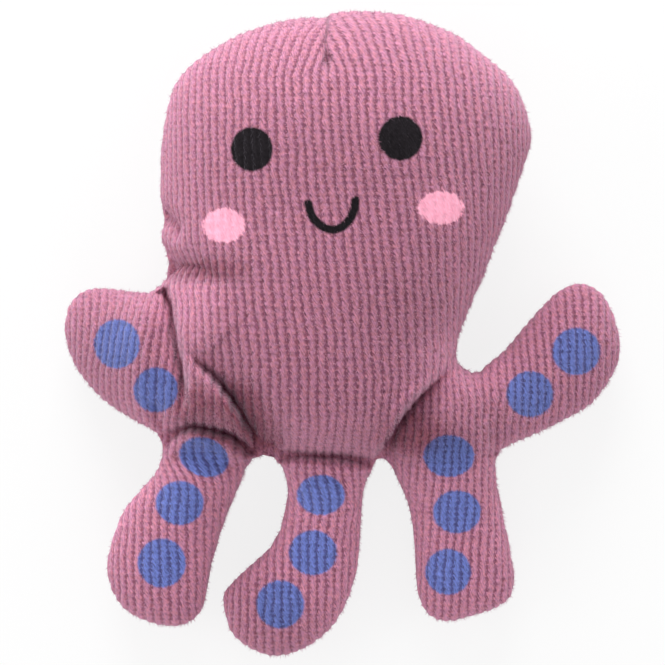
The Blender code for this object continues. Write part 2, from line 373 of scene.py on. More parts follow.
@dataclass(frozen=True)
class Viewpoint:
    """Where the camera stands: straight above the toy, as the photograph was taken.

    Attributes:
        x: the camera's x.
        y: the camera's y.
        lens: its focal length.
        sensor: the width of its sensor.
        span: how much it sees from edge to edge on its level.
        level: the height at which the outline and the prints were measured.
    """

    x: float = -3.7
    y: float = 0.7
    lens: float = 120.0
    sensor: float = 36.0
    span: float = 247.4
    level: float = 28.5

    @property
    def distance(self) -> float:
        """How far the camera is above the level at which its span is measured."""
        return self.span * self.lens / self.sensor

    def seen(self, points: Array) -> tuple[Array, Array]:
        """Works out where the camera sees places, measured on its level.

        Args:
            points: the places, one row each.

        Returns:
            The x and the y at which it sees them.
        """
        share = self.distance / (self.distance - (points[:, 2] - self.level))
        return (self.x + (points[:, 0] - self.x) * share,
                self.y + (points[:, 1] - self.y) * share)

    def real(self, x: Array, y: Array, height: Array) -> tuple[Array, Array]:
        """Where a place lies that the camera sees at x and y, if its height is known."""
        share = (self.distance - (height - self.level)) / self.distance
        return self.x + (x - self.x) * share, self.y + (y - self.y) * share


def seam_line() -> Array:
    """Joins the stretches of the seam line, clockwise from the left armpit over the crown.

    Returns:
        The points of the line, one row each.
    """
    points = (*CROWN, *RIGHT_ARM.edge, *LEG_ARM_CORNER, *RIGHT_LEG.edge, *RIGHT_CROTCH,
              *MIDDLE_LEG.edge, *LEFT_CROTCH, *LEFT_LEG.edge, *ARM_LEG_CORNER, *LEFT_ARM.edge)
    return smooth_path(points, pieces=8, closed=True)


# half the width of the slit at the bottom of a fold
SLIT_WIDTH = 1.25
# how a fold's walls rise: 1 is a sharp V, 2 is a round hollow
HOLLOW = 1.3


@dataclass(frozen=True)
class Crease:
    """A fold pressed into the front panel: a valley with a wall on each side of its line.

    Attributes:
        path: where its bottom runs.
        depth: how deep it is.
        left: how far the wall on the left of the path reaches.
        right: how far the wall on its right reaches.
        slit: how much deeper the narrow slit at its bottom is.
        swell: how far the cloth stands out beyond the left wall and beyond the right one.
        fade: the shares of its length over which it starts and ends.
        inward: whether it is pressed square to the surface and not straight down.
    """

    path: tuple[Point, ...]
    depth: float
    left: float
    right: float
    slit: float = 0.0
    swell: Point = (0.0, 0.0)
    fade: Point = (0.25, 0.25)
    inward: bool = False

    def press(self, x: Array, y: Array) -> Array:
        """Works out how far the fold moves places.

        Args:
            x: the places' x.
            y: the places' y.

        Returns:
            How far each place moves up, or out if the fold is pressed inward.
        """
        apart, share, side = distance_to_path(x, y, smooth_path(self.path, 6, False))
        start, end = self.fade
        strength = smooth_step(share / start) * smooth_step((1 - share) / end)
        wall = apart / np.where(side > 0, self.left, self.right)
        stand = np.where(side > 0, *self.swell) * (wall / 2) ** 2 * np.exp(1 - (wall / 2) ** 2)
        cut = self.slit * np.exp(-(apart / SLIT_WIDTH) ** 2)
        return strength * (stand - cut - self.depth * np.exp(-wall ** HOLLOW))


CREASES = (
    # the side of the head folds over the root of the left arm
    Crease(((-65.8, 17.6), (-63.4, 9.9), (-61.7, -0.6), (-59.7, -9.9), (-58.5, -16.9),
            (-58.4, -24.0), (-59.4, -31.0)), depth=6.5, left=1.8, right=4.6, slit=5.0,
           swell=(1.6, 0.0), fade=(0.03, 0.30)),
    # the long fold from the left arm to the left crotch
    Crease(((-57.0, -3.0), (-52.7, -9.9), (-47.3, -14.2), (-43.4, -19.1), (-39.1, -25.1),
            (-34.8, -32.7), (-32.0, -38.7), (-30.4, -46.0)), depth=9.0, left=9.0, right=1.4,
           slit=4.0, swell=(0.0, 1.8), fade=(0.45, 0.02)),
    # a smaller fold beside it
    Crease(((-54.3, -6.5), (-50.0, -13.2), (-45.2, -19.5), (-42.4, -27.0)), depth=1.6, left=1.3,
           right=1.3, fade=(0.4, 0.5)),
    # the hip hangs over the left leg
    Crease(((-68.4, -41.8), (-61.5, -36.2), (-56.0, -34.2), (-50.6, -34.6), (-44.0, -36.2),
            (-39.6, -38.4), (-32.4, -45.2)), depth=7.0, left=5.0, right=1.9, slit=4.5,
           swell=(1.0, 1.8), fade=(0.03, 0.08)),
    # a tuck where the left arm's lower edge meets the leg
    Crease(((-69.2, -24.0), (-67.2, -35.8)), depth=3.0, left=2.2, right=2.2, fade=(0.3, 0.2)),
    # the belly hangs over the middle leg
    Crease(((-26.6, -46.0), (-17.5, -44.6), (-7.3, -44.9), (3.2, -45.9), (13.6, -48.4)),
           depth=5.5, left=3.4, right=1.7, slit=4.5, swell=(0.5, 1.6), fade=(0.03, 0.03)),
    # a tuck at the left end of that crease
    Crease(((-31.0, -43.6), (-22.0, -38.2), (-17.3, -34.8)), depth=3.4, left=3.0, right=2.4,
           fade=(0.1, 0.6)),
    # the fold from the right armpit to the right crotch
    Crease(((43.6, -11.4), (38.5, -13.4), (32.8, -18.6), (27.1, -24.3), (21.9, -31.3),
            (19.2, -36.5), (14.8, -44.6), (11.6, -51.0)), depth=9.0, left=8.0, right=1.6,
           slit=4.0, swell=(0.0, 2.4), fade=(0.45, 0.20)),
    # a dent where the right arm and the right leg part
    Crease(((54.6, -31.5), (55.8, -37.0), (57.8, -45.0)), depth=3.4, left=3.2, right=3.2,
           fade=(0.6, 0.05)),
    # two wrinkles at the left edge of the head
    Crease(((-70.5, 46.0), (-63.8, 41.6), (-61.6, 37.6), (-62.6, 32.0)), depth=3.4, left=2.6,
           right=2.4, fade=(0.05, 0.4), inward=True),
    Crease(((-69.4, 24.0), (-59.5, 24.8), (-52.8, 23.0), (-46.0, 20.0), (-39.5, 16.0)),
           depth=4.0, left=5.0, right=3.6, swell=(0.4, 0.9), fade=(0.12, 0.6), inward=True),
)


@dataclass(frozen=True)
class Pinch:
    """The pinch at the crown, where the front panel is taken in by a short dart.

    Attributes:
        path: where the dart's seam runs, from the crown down.
        depth: how deep the seam lies.
        width: how wide the valley along it is.
        run_out: the share of its length over which it ends.
        hole: the small hollow at the end of the dart.
        hole_depth: how deep that is.
        hole_width: how wide it is.
        hole_length: how many times as long as wide it is.
        knot: the little hill below the hollow.
        knot_height: how high that is.
        knot_width: how wide it is.
        knot_length: how many times as long as wide it is.
        gather: how far the ribs are drawn towards the seam at the crown.
        gather_start: the y at which they begin to be drawn.
        gather_end: the y at which they are drawn that far.
        gather_curve: how late they are drawn, as a power.
        gather_reach: how far to the sides they are drawn.
    """

    path: tuple[Point, ...] = ((-5.2, 118.4), (-5.6, 112.0), (-6.2, 105.0), (-5.8, 99.5),
                               (-4.4, 94.8))
    depth: float = 2.3
    width: float = 1.1
    run_out: float = 0.3
    hole: Point = (-5.5, 98.2)
    hole_depth: float = 4.2
    hole_width: float = 1.2
    hole_length: float = 2.6
    knot: Point = (-4.3, 91.0)
    knot_height: float = 1.0
    knot_width: float = 1.6
    knot_length: float = 2.0
    gather: float = 11.0
    gather_start: float = 93.5
    gather_end: float = 118.0
    gather_curve: float = 1.2
    gather_reach: float = 37.0

    def press(self, x: Array, y: Array) -> Array:
        """Works out how far the pinch moves places.

        Args:
            x: the places' x.
            y: the places' y.

        Returns:
            How far each place moves up.
        """
        apart, share, _ = distance_to_path(x, y, smooth_path(self.path, 6, False))
        line = (-self.depth * np.exp(-(apart / self.width) ** HOLLOW)
                * smooth_step((1 - share) / self.run_out))
        hole = np.hypot(x - self.hole[0], (y - self.hole[1]) / self.hole_length)
        knot = np.hypot(x - self.knot[0], (y - self.knot[1]) / self.knot_length)
        return (line - self.hole_depth * np.exp(-(hole / self.hole_width) ** 2)
                + self.knot_height * np.exp(-(knot / self.knot_width) ** 2))

    def gathers(self, x: Array, y: Array) -> Array:
        """Works out how far the ribs are drawn sideways towards the pinch.

        Args:
            x: the places' x.
            y: the places' y.

        Returns:
            How far the ribs are drawn at each place.
        """
        rise = (y - self.gather_start) / (self.gather_end - self.gather_start)
        drawn = self.gather * np.clip(rise, 0.0, 1.2) ** self.gather_curve
        line = np.array(self.path[::-1])
        offset = x - np.interp(y, line[:, 1], line[:, 0])
        # the ribs meet at the seam, but run on side by side below the hollow
        joined = 0.3 + 6.0 * smooth_step((self.hole[1] + 2.0 - y) / 5.0)
        return drawn * np.tanh(offset / joined) * np.exp(-np.abs(offset) / self.gather_reach)


@dataclass(frozen=True)
class Lean:
    """A place where the ribs lean, because the cloth was cut or is drawn at a slant there.

    Attributes:
        middle: the middle of the place.
        reach: how far it reaches along x and y.
        slant: how far the ribs lean to the right for each millimetre up, at the middle.
    """

    middle: Point
    reach: Point
    slant: float

    def draw(self, x: Array, y: Array) -> Array:
        """How far the ribs are drawn sideways."""
        dx, dy = (x - self.middle[0]) / self.reach[0], (y - self.middle[1]) / self.reach[1]
        return -self.slant * (y - self.middle[1]) * np.exp(-(dx ** 2 + dy ** 2))


LEANS = (
    Lean((-88.0, -4.0), (24.0, 26.0), 0.20),
    Lean((-58.0, -50.0), (16.0, 12.0), -0.45),
    Lean((-8.0, -56.0), (16.0, 12.0), -0.26),
    Lean((-6.0, 34.0), (58.0, 90.0), -0.105),
    Lean((48.0, 72.0), (30.0, 50.0), -0.085),
    Lean((60.0, -30.0), (22.0, 22.0), 0.10),
)


@dataclass(frozen=True)
class PaintedLight:
    """A patch of painted light or painted shade, as the sign of its tone says: the pile's colour is
    made paler or darker there, to stand in for light and shade.

    Attributes:
        middle: the middle of the place.
        reach: how far it reaches along x and y.
        tone: how much paler the painted light makes the pile at the middle, as a share; below zero it
            is painted shade that makes it darker.
    """

    middle: Point
    reach: Point
    tone: float

    def tint(self, x: Array, y: Array) -> Array:
        """How much paler the painted light makes each place, negative where it is painted shade."""
        dx, dy = (x - self.middle[0]) / self.reach[0], (y - self.middle[1]) / self.reach[1]
        return self.tone * np.exp(-(dx ** 2 + dy ** 2) ** 1.5)


# painted light and shade: the pile is painted darker round the folds, paler on the legs, and both
# paler and darker here and there on the head and arms
PAINTED_LIGHTS = (
    # head
    PaintedLight((0.0, 98.0), (80.0, 24.0), 0.05),
    PaintedLight((-8.0, 62.0), (38.0, 20.0), -0.12),
    PaintedLight((36.6, 47.0), (11.0, 9.0), 0.12),
    PaintedLight((24.0, 7.0), (18.0, 18.0), -0.13),
    PaintedLight((-56.0, 11.0), (13.0, 10.0), 0.22),
    PaintedLight((-50.0, 23.0), (17.0, 5.0), -0.34),
    # round the folds
    PaintedLight((-43.0, -31.0), (18.0, 13.0), -0.28),
    PaintedLight((-56.0, -25.0), (8.0, 8.0), -0.20),
    PaintedLight((-30.0, -39.0), (10.0, 9.0), -0.30),
    PaintedLight((-36.0, -25.0), (8.0, 10.0), -0.18),
    PaintedLight((3.0, -39.0), (20.0, 6.0), -0.15),
    PaintedLight((25.0, -36.0), (11.0, 10.0), -0.30),
    PaintedLight((38.0, -41.0), (14.0, 8.0), -0.20),
    # arms and legs
    PaintedLight((-85.0, -4.0), (20.0, 24.0), -0.10),
    PaintedLight((44.0, -10.0), (17.0, 13.0), 0.24),
    PaintedLight((-49.0, -52.0), (12.0, 8.0), 0.18),
    PaintedLight((12.0, -54.0), (10.0, 6.0), 0.14),
    PaintedLight((50.0, -30.0), (16.0, 9.0), -0.13),
    PaintedLight((-68.0, -76.0), (24.0, 34.0), 0.36),
    PaintedLight((-8.0, -76.0), (26.0, 32.0), 0.40),
    PaintedLight((46.0, -78.0), (26.0, 36.0), 0.36),
)


@dataclass
class Pouch:
    """The stuffed pouch: how far the cover swells in front of and behind its middle surface.

    Attributes:
        front_fullness: how far the front swells, as a share of a round tube's swelling.
        back_fullness: the same for the head's back.
        limb_back_fullness: the same for the limbs' backs.
        hug_head: how far the tightness of a crease reaches into the head.
        hug_limb: how far it reaches into the limb.
        hug_side: how far it reaches beyond the sides of the limb.
        tip_height: how high the middle of a limb lies at its tip.
        droop: how early a limb comes down, as a power.
        side: how far beyond its sides a limb still governs the cloth.
        cell: the spacing of the grid that it is worked out on.
        margin: how far the grid reaches beyond the seam line.
        sure: how far inside the seam line the membrane's height is relied on.
        view: the camera that the seam line was measured with.
        seam_height: how high the seam lies round the head.
        line: the seam line.
        grid_x: the x of the grid's points.
        grid_y: the y of the grid's points.
        inset: how far inside the seam line each place lies.
        swell: the square of how far a pouch as full as a round tube swells.
        swell_x: its slope along x.
        swell_y: its slope along y.
        middle: the height of the surface midway between front and back.
        front: the front's fullness.
        back: the back's fullness.
    """

    front_fullness: float = 0.675
    back_fullness: float = 0.540
    limb_back_fullness: float = 0.620
    hug_head: float = 12.0
    hug_limb: float = 7.0
    hug_side: float = 8.0
    tip_height: float = 11.0
    droop: float = 1.9
    side: float = 6.0
    cell: float = 1.0
    margin: float = 12.0
    sure: float = 0.8
    view: Viewpoint = Viewpoint()
    seam_height: float = field(init=False)
    line: Array = field(init=False)
    grid_x: Array = field(init=False)
    grid_y: Array = field(init=False)
    inset: Field = field(init=False)
    swell: Field = field(init=False)
    swell_x: Field = field(init=False)
    swell_y: Field = field(init=False)
    middle: Field = field(init=False)
    front: Field = field(init=False)
    back: Field = field(init=False)

    def __post_init__(self) -> None:
        """Works out the swelling from the seam line."""
        self.seam_height = float(LIMBS[0].root[2])
        line = seam_line()
        self.line = np.stack(self.view.real(*line.T, self._middle(*line.T)), 1)
        low, high = self.line.min(0) - self.margin, self.line.max(0) + self.margin
        xs = np.arange(low[0], high[0], self.cell)
        ys = np.arange(low[1], high[1], self.cell)
        self.grid_x, self.grid_y = np.meshgrid(xs, ys)
        inside = self._signed_distance(self.grid_x, self.grid_y)
        fullness = self._fullness(self.grid_x, self.grid_y)
        fields = [Field(xs[0], ys[0], self.cell, values) for values in (
            inside, self._swelling(inside), self._middle(self.grid_x, self.grid_y), *fullness)]
        self.inset, self.swell, self.middle, self.front, self.back = fields
        self.swell_x, self.swell_y = self.swell.slopes()

    def _signed_distance(self, x: Array, y: Array) -> Array:
        """Measures how far places lie inside the seam line.

        Args:
            x: the places' x.
            y: the places' y.

        Returns:
            The distance to the line, negative outside it.
        """
        path = np.vstack([self.line, self.line[:1]])
        apart, _, _ = distance_to_path(x, y, path)
        inside = np.zeros(x.shape, bool)
        for (ax, ay), (bx, by) in zip(path, path[1:]):
            if ay != by:
                crossing = (ay > y) != (by > y)
                inside ^= crossing & (x < (bx - ax) * (y - ay) / (by - ay) + ax)
        return np.where(inside, apart, -apart)

    def _swelling(self, inside: Array) -> Array:
        """Solves for an even membrane held at the seam line.

        Args:
            inside: the signed distance to the seam line on the grid.

        Returns:
            Twice the membrane's height on the grid, carried on below zero outside the line.
        """
        held = inside > 0
        sides = ((0, 1), (0, -1), (1, 1), (1, -1))
        diagonal, links = np.zeros(inside.shape), []
        for axis, shift in sides:
            beside = np.roll(inside, shift, axis)
            cut = held & (beside <= 0)
            share = np.clip(inside / np.where(cut, inside - beside, 1.0), 0.08, 1.0)
            diagonal += np.where(cut, 1.0 / share, 1.0)
            links.append((axis, shift, held & (beside > 0)))

        def spread(u: Array) -> Array:
            """Applies the membrane's equations.

            Args:
                u: the membrane's height.

            Returns:
                How strongly each place of it is pulled back.
            """
            total = diagonal * u
            for axis, shift, linked in links:
                total -= np.where(linked, np.roll(u, shift, axis), 0.0)
            return np.where(held, total, 0.0)

        right = np.where(held, self.cell ** 2, 0.0)
        u = conjugate_gradients(spread, right, np.where(held, diagonal, 1.0), 420)
        known = inside > self.sure
        ratio = np.where(known, u / np.maximum(inside, self.sure), 0.0)
        for _ in range(int(self.margin)):
            around, count = np.zeros(inside.shape), np.zeros(inside.shape)
            for axis, shift in sides:
                near = np.roll(known, shift, axis)
                around += np.where(near, np.roll(ratio, shift, axis), 0.0)
                count += near
            ratio = np.where(known, ratio, around / np.maximum(count, 1))
            known = known | (count > 0)
        return 2.0 * np.where(inside > self.sure, u, inside * ratio)

    def limb_shares(self, x: Array, y: Array) -> list[Array]:
        """Shares places among the limbs, by which limb's spine is nearest.

        Args:
            x: the places' x.
            y: the places' y.

        Returns:
            How much each limb governs each place, one array for each limb.
        """
        apart = [distance_to_path(x, y, np.array(limb.spine))[0] + 0.5 for limb in LIMBS]
        pull = [1.0 / a ** 8 for a in apart]
        total = sum(pull)
        return [(1.0 - smooth_step(limb.overrun(x, y) / self.side)) * p / total
                for limb, p in zip(LIMBS, pull)]

    def limb_parts(self, x: Array, y: Array) -> list[Array]:
        """Measures how far places are along each limb.

        Args:
            x: the places' x.
            y: the places' y.

        Returns:
            A share from 0 at the crease to 1 at the tip, one array for each limb.
        """
        parts = []
        for limb in LIMBS:
            beyond = limb.beyond(x, y)
            length = limb.beyond(*np.array(limb.edge).T).max()
            eased = 0.5 * (beyond + np.sqrt(beyond ** 2 + 4 * limb.softness ** 2))
            parts.append(np.clip(eased / length, 0.0, 1.0))
        return parts

    def _middle(self, x: Array, y: Array) -> Array:
        """Works out the height of the surface midway between front and back.

        Args:
            x: the places' x.
            y: the places' y.

        Returns:
            The height, at which the seam lies too.
        """
        drop = np.zeros(np.shape(x))
        for share, part in zip(self.limb_shares(x, y), self.limb_parts(x, y)):
            drop += share * (1.0 - (1.0 - part) ** self.droop)
        return self.seam_height - (self.seam_height - self.tip_height) * drop

    def _fullness(self, x: Array, y: Array) -> tuple[Array, Array]:
        """Works out how far the pouch swells.

        Args:
            x: the places' x.
            y: the places' y.

        Returns:
            The fullness in front and behind.
        """
        limb, hug = np.zeros(np.shape(x)), np.zeros(np.shape(x))
        for one, share, part in zip(LIMBS, self.limb_shares(x, y), self.limb_parts(x, y)):
            limb += share * smooth_step(part * 3.0)
            beyond = one.beyond(x, y)
            width = np.where(beyond > 0, self.hug_limb, self.hug_head)
            gate = 1.0 - smooth_step(one.overrun(x, y) / self.hug_side)
            hug = np.maximum(hug, one.tightness * gate * np.exp(-(beyond / width) ** 2))
        back = self.back_fullness + (self.limb_back_fullness - self.back_fullness) * limb
        return self.front_fullness * (1.0 - hug), back * (1.0 - hug)

    def settle(self, points: Array, rounds: int, longest: float = 1.6) -> Array:
        """Moves points onto the pouch's surface, in the space where its middle is flat.

        Args:
            points: x, y and rise of each point.
            rounds: how many steps to take.
            longest: the longest step.

        Returns:
            The moved points.
        """
        p = points.copy()
        for _ in range(rounds):
            x, y, rise = p.T
            fullness = np.where(rise >= 0, self.front.at(x, y), self.back.at(x, y))
            error = (rise / fullness) ** 2 - self.swell.at(x, y)
            slope = np.stack([-self.swell_x.at(x, y), -self.swell_y.at(x, y),
                              2 * rise / fullness ** 2], 1)
            step = error[:, None] * slope / np.maximum((slope ** 2).sum(1), 1e-6)[:, None]
            size = np.linalg.norm(step, axis=1, keepdims=True)
            p -= step * np.minimum(1.0, longest / np.maximum(size, 1e-9))
        return p


def conjugate_gradients(spread: Callable[[Array], Array], right: Array, diagonal: Array,
                        rounds: int) -> Array:
    """Solves a symmetric linear system.

    Args:
        spread: applies the system to values.
        right: the right-hand side.
        diagonal: the system's diagonal.
        rounds: how many steps to take.

    Returns:
        The solution.
    """
    u = np.zeros_like(right)
    rest = right - spread(u)
    scaled = rest / diagonal
    way = scaled.copy()
    size = float((rest * scaled).sum())
    for _ in range(rounds):
        spread_way = spread(way)
        step = size / max(float((way * spread_way).sum()), 1e-30)
        u += step * way
        rest -= step * spread_way
        scaled = rest / diagonal
        new_size = float((rest * scaled).sum())
        if new_size < 1e-14 * max(size, 1e-12):
            break
        way = scaled + (new_size / max(size, 1e-30)) * way
        size = new_size
    return u


def read(items: bpy.types.bpy_prop_collection, name: str, width: int = 1,
         kind: type = float) -> Array:
    """Reads one property of every vertex, edge, corner or face.

    Args:
        items: the items.
        name: the property's name.
        width: how many numbers it holds.
        kind: the type of the numbers.

    Returns:
        The numbers, in rows if there are several for each item.
    """
    flat = np.empty(len(items) * width, kind)
    items.foreach_get(name, flat)
    return flat if width == 1 else flat.reshape(-1, width)


FRONT_PANELS = ("head_front_panel", *(f"{limb.name}_front_panel" for limb in LIMBS))
BACK_PANELS = tuple(name.replace("front", "back") for name in FRONT_PANELS)
PANELS = (*FRONT_PANELS, *BACK_PANELS)


class Shell:
    """A mesh that is worked on as arrays, in millimetres."""

    def __init__(self, points: Array, faces: Sequence[Sequence[int]]) -> None:
        """Makes the mesh.

        Args:
            points: one row for each vertex.
            faces: the vertices of each face.
        """
        self.mesh = bpy.data.meshes.new("shell")
        self.mesh.from_pydata(points.tolist(), [], faces)
        self.mesh.update()

    @property
    def points(self) -> Array:
        """The vertices' places, one row each."""
        return read(self.mesh.vertices, "co", 3)

    @points.setter
    def points(self, points: Array) -> None:
        """Moves the vertices."""
        self.mesh.vertices.foreach_set("co", points.ravel())
        self.mesh.update()

    @property
    def normals(self) -> Array:
        """The vertices' normals."""
        return read(self.mesh.vertex_normals, "vector", 3)

    @property
    def edges(self) -> Array:
        """The two vertices of each edge."""
        return read(self.mesh.edges, "vertices", 2, np.int32)

    @property
    def corners(self) -> tuple[Array, Array]:
        """The vertex of each face corner, and the face that the corner belongs to."""
        sizes = read(self.mesh.polygons, "loop_total", 1, np.int32)
        return read(self.mesh.loops, "vertex_index", 1, np.int32), np.arange(len(sizes)).repeat(sizes)

    @property
    def panels(self) -> Array:
        """The panel that each face belongs to, as its place in PANELS."""
        return read(self.mesh.attributes["panel"].data, "value", 1, np.int32)

    def face_middles(self) -> Array:
        """Finds the middle of each face.

        Returns:
            The middles, one row each.
        """
        vertices, faces = self.corners
        points, count = self.points[vertices], np.bincount(faces)
        return np.stack([np.bincount(faces, points[:, i]) / count for i in range(3)], 1)

    def store(self, name: str, kind: str, on: str, values: Array) -> None:
        """Stores a number with each vertex or face.

        Args:
            name: the number's name.
            kind: its type.
            on: where it is stored, POINT or FACE.
            values: the numbers.
        """
        attribute = self.mesh.attributes.new(name, kind, on)
        attribute.data.foreach_set("value", values)

    def modify(self, kind: str, **settings: object) -> None:
        """Puts the mesh through one modifier.

        Args:
            kind: the modifier's type.
            settings: its settings.
        """
        worked = bpy.data.objects.new("shell", self.mesh)
        bpy.context.scene.collection.objects.link(worked)
        modifier = worked.modifiers.new(kind.lower(), kind)
        for name, value in settings.items():
            setattr(modifier, name, value)
        graph = bpy.context.evaluated_depsgraph_get()
        self.mesh = bpy.data.meshes.new_from_object(worked.evaluated_get(graph))
        bpy.data.objects.remove(worked)

    def relax(self, share: float) -> None:
        """Moves each vertex towards the middle of its neighbours.

        Args:
            share: how much of the way it moves.
        """
        points, edges = self.points, self.edges
        ends, others = np.concatenate([edges, edges[:, ::-1]]).T
        count = np.bincount(ends, minlength=len(points))
        sums = [np.bincount(ends, points[others, i], minlength=len(points)) for i in range(3)]
        middles = np.stack(sums, 1) / np.maximum(count, 1)[:, None]
        self.points = points + share * (middles - points)

    def cut(self, point: Array, normal: Array, snap: float,
            chosen: Callable[[Array], Array] | None = None) -> None:
        """Cuts faces along a plane.

        Args:
            point: a point of the plane.
            normal: the plane's normal.
            snap: vertices nearer than this are moved onto the plane.
            chosen: picks the places that are cut, which are all of them without it.
        """
        made = bmesh.new()
        made.from_mesh(self.mesh)
        faces = list(made.faces)
        if chosen:
            places = np.array([face.calc_center_median() for face in faces])
            faces = [face for face, take in zip(faces, chosen(places)) if take]
        verts = {v for face in faces for v in face.verts}
        plane, way = Vector(point), Vector(normal)
        for vert in verts:
            off = (vert.co - plane).dot(way)
            if abs(off) < snap:
                vert.co -= way * off
        edges = {e for face in faces for e in face.edges}
        bmesh.ops.bisect_plane(made, geom=[*verts, *edges, *faces], dist=1e-4,
                               plane_co=plane, plane_no=way)
        made.to_mesh(self.mesh)
        made.free()


# how much of the ribs' height the ink mats down where it is printed
MATTED = {Ink.BLUE: 0.5, Ink.PINK: 0.5, Ink.BLACK: 0.7}


@dataclass
class Cover:
    """The plush cover: the pouch's surface, its folds and ribs, divided into panels.

    Attributes:
        pouch: the pouch that it covers.
        voxel: how wide the faces of the first, plain cover are.
        subdivisions: how many times they are divided into four.
        rounds: how many times the plain cover is evened out.
        snap: how far vertices are moved onto the line of a cut.
        seam_depth: how deep the seam lies between the panels.
        seam_width: half the width of its groove.
        shell: the cover's mesh.
        rise: how far each vertex lies in front of the middle surface.
        open: how far the unfolded cloth faces up.
        rest: where each vertex lies before the ribs are added.
        across: how far it lies across the ribs of the cloth.
        along: how far it lies along them.
        nap: the painted light and shade there, as a factor on the pile's colour.
        inks: how deep it lies inside each ink.
    """

    pouch: Pouch
    voxel: float = 2.4
    subdivisions: int = 2
    rounds: int = 6
    snap: float = 0.7
    seam_depth: float = 0.9
    seam_width: float = 1.1
    shell: Shell = field(init=False)
    rise: Array = field(init=False)
    open: Array = field(init=False)
    rest: Array = field(init=False)
    across: Array = field(init=False)
    along: Array = field(init=False)
    nap: Array = field(init=False)
    inks: dict[Ink, Array] = field(init=False)

    def build(self) -> None:
        """Shapes the cover as one closed mesh and works out where the cloth and prints lie."""
        self.shell = shell = Shell(*self._blank())
        shell.modify("REMESH", mode="VOXEL", voxel_size=self.voxel)
        for _ in range(self.rounds):
            shell.relax(0.5)
            shell.points = self.pouch.settle(shell.points, 3)
        shell.cut(np.zeros(3), np.array([0.0, 0.0, 1.0]), 0.8)
        for limb in LIMBS:
            root = np.array([*limb.root[:2], 0.0])
            shell.cut(root, np.array([*limb.outward, 0.0]), self.snap, self._near_root(limb))
        owners = self._panels_at(shell.face_middles())
        shell.store("panel", "INT", "FACE", owners.astype(np.int32))
        self._settle_seam()
        shell.modify("SUBSURF", levels=1, render_levels=1)
        self._settle_seam()
        points = shell.points
        self.rise = points[:, 2].copy()
        points[:, 2] += self.pouch.middle.at(points[:, 0], points[:, 1])
        shell.points = points
        self._grain()
        for _ in range(self.subdivisions - 1):
            shell.store("rise", "FLOAT", "POINT", self.rise)
            shell.modify("SUBSURF", levels=1, render_levels=1)
            self.rise = self._read("rise")
        self.open = shell.normals[:, 2].copy()
        self._fold()
        self._finish()
        log.info("cover: %d faces", len(shell.mesh.polygons))

    def _blank(self) -> tuple[Array, list[tuple[int, ...]]]:
        """Cuts the blank: a front and a back sheet over the grid, closed at their edges.

        Returns:
            Its points, and the points of each face.
        """
        inside = self.pouch.inset.values
        height = np.sqrt(np.maximum(self.pouch.swell.values, 0.5))
        rows, columns = inside.shape
        kept = inside > -0.4
        number = np.full(inside.shape, -1)
        number[kept] = np.arange(kept.sum())
        x, y, h = self.pouch.grid_x[kept], self.pouch.grid_y[kept], height[kept]
        front = np.stack([x, y, self.pouch.front_fullness * h], 1)
        back = np.stack([x, y, -self.pouch.back_fullness * h], 1)
        a, b = number[:-1, :-1], number[:-1, 1:]
        c, d = number[1:, 1:], number[1:, :-1]
        whole = (a >= 0) & (b >= 0) & (c >= 0) & (d >= 0)
        quads = np.stack([a[whole], b[whole], c[whole], d[whole]], 1)
        sides = np.concatenate([quads[:, [i, (i + 1) % 4]] for i in range(4)])
        seen = {tuple(side) for side in sides.tolist()}
        rim = [side for side in seen if side[::-1] not in seen]
        count = len(front)
        faces = [*quads.tolist(), *(quads[:, ::-1] + count).tolist()]
        faces += [(q, p, p + count, q + count) for p, q in rim]
        return np.vstack([front, back]), faces

    def _near_root(self, limb: Limb) -> Callable[[Array], Array]:
        """Makes a test for places round a limb's crease.

        Args:
            limb: the limb.

        Returns:
            The test, which takes places and says which of them it picks.
        """
        def near(places: Array) -> Array:
            """Picks the places round the crease.

            Args:
                places: the places, one row each.

            Returns:
                Whether each is picked.
            """
            x, y, _ = places.T
            along = limb.along(x, y)
            reached = (along > limb.reach[0] - 1) & (along < limb.reach[1] + 1)
            return reached & (np.abs(limb.beyond(x, y)) < 4.0)
        return near

    def _panels_at(self, places: Array) -> Array:
        """Finds the panel that each place belongs to.

        Args:
            places: the places, one row each.

        Returns:
            The panels' places in PANELS.
        """
        x, y, rise = places.T
        shares = self.pouch.limb_shares(x, y)
        owner = np.zeros(len(x), int)
        for index, (limb, share) in enumerate(zip(LIMBS, shares), start=1):
            beyond = limb.beyond(x, y)
            claimed = (limb.overrun(x, y) < 0) & ((beyond < 8.0) | (share > 0.5))
            owner = np.where(claimed & (beyond > 0), index, owner)
        return owner + np.where(rise < 0, len(FRONT_PANELS), 0)

    def _on_seam(self) -> Array:
        """Finds the vertices on the seam between front and back.

        Returns:
            Whether each vertex lies on it.
        """
        vertices, faces = self.shell.corners
        back = self.shell.panels[faces] >= len(FRONT_PANELS)
        total = len(self.shell.mesh.vertices)
        behind = np.bincount(vertices, back, minlength=total) > 0
        before = np.bincount(vertices, ~back, minlength=total) > 0
        return behind & before

    def _settle_seam(self) -> None:
        """Puts the seam on its line and the rest on the pouch's surface."""
        points = self.shell.points
        points[self._on_seam(), 2] = 0.0
        self.shell.points = self.pouch.settle(points, 4)

    def _read(self, name: str) -> Array:
        """Reads a number stored with each vertex."""
        return read(self.shell.mesh.attributes[name].data, "value", 1, np.float32).astype(float)

    def _fold(self) -> None:
        """Presses the folds and the pinch into the front, and never through the back."""
        points, normals = self.shell.points, self.shell.normals
        x, y, _ = points.T
        room = 0.8 * np.maximum(self.rise - 0.5, 0.0)
        up, out = Pinch().press(x, y), np.zeros(len(x))
        for crease in CREASES:
            if crease.inward:
                out += smooth_step((self.rise + 4.0) / 6.0) * crease.press(x, y)
            else:
                up += crease.press(x, y)
        points += out[:, None] * normals
        points[:, 2] = np.maximum(points[:, 2] + np.clip(up, -room, room), 0.0)
        self.shell.points = points

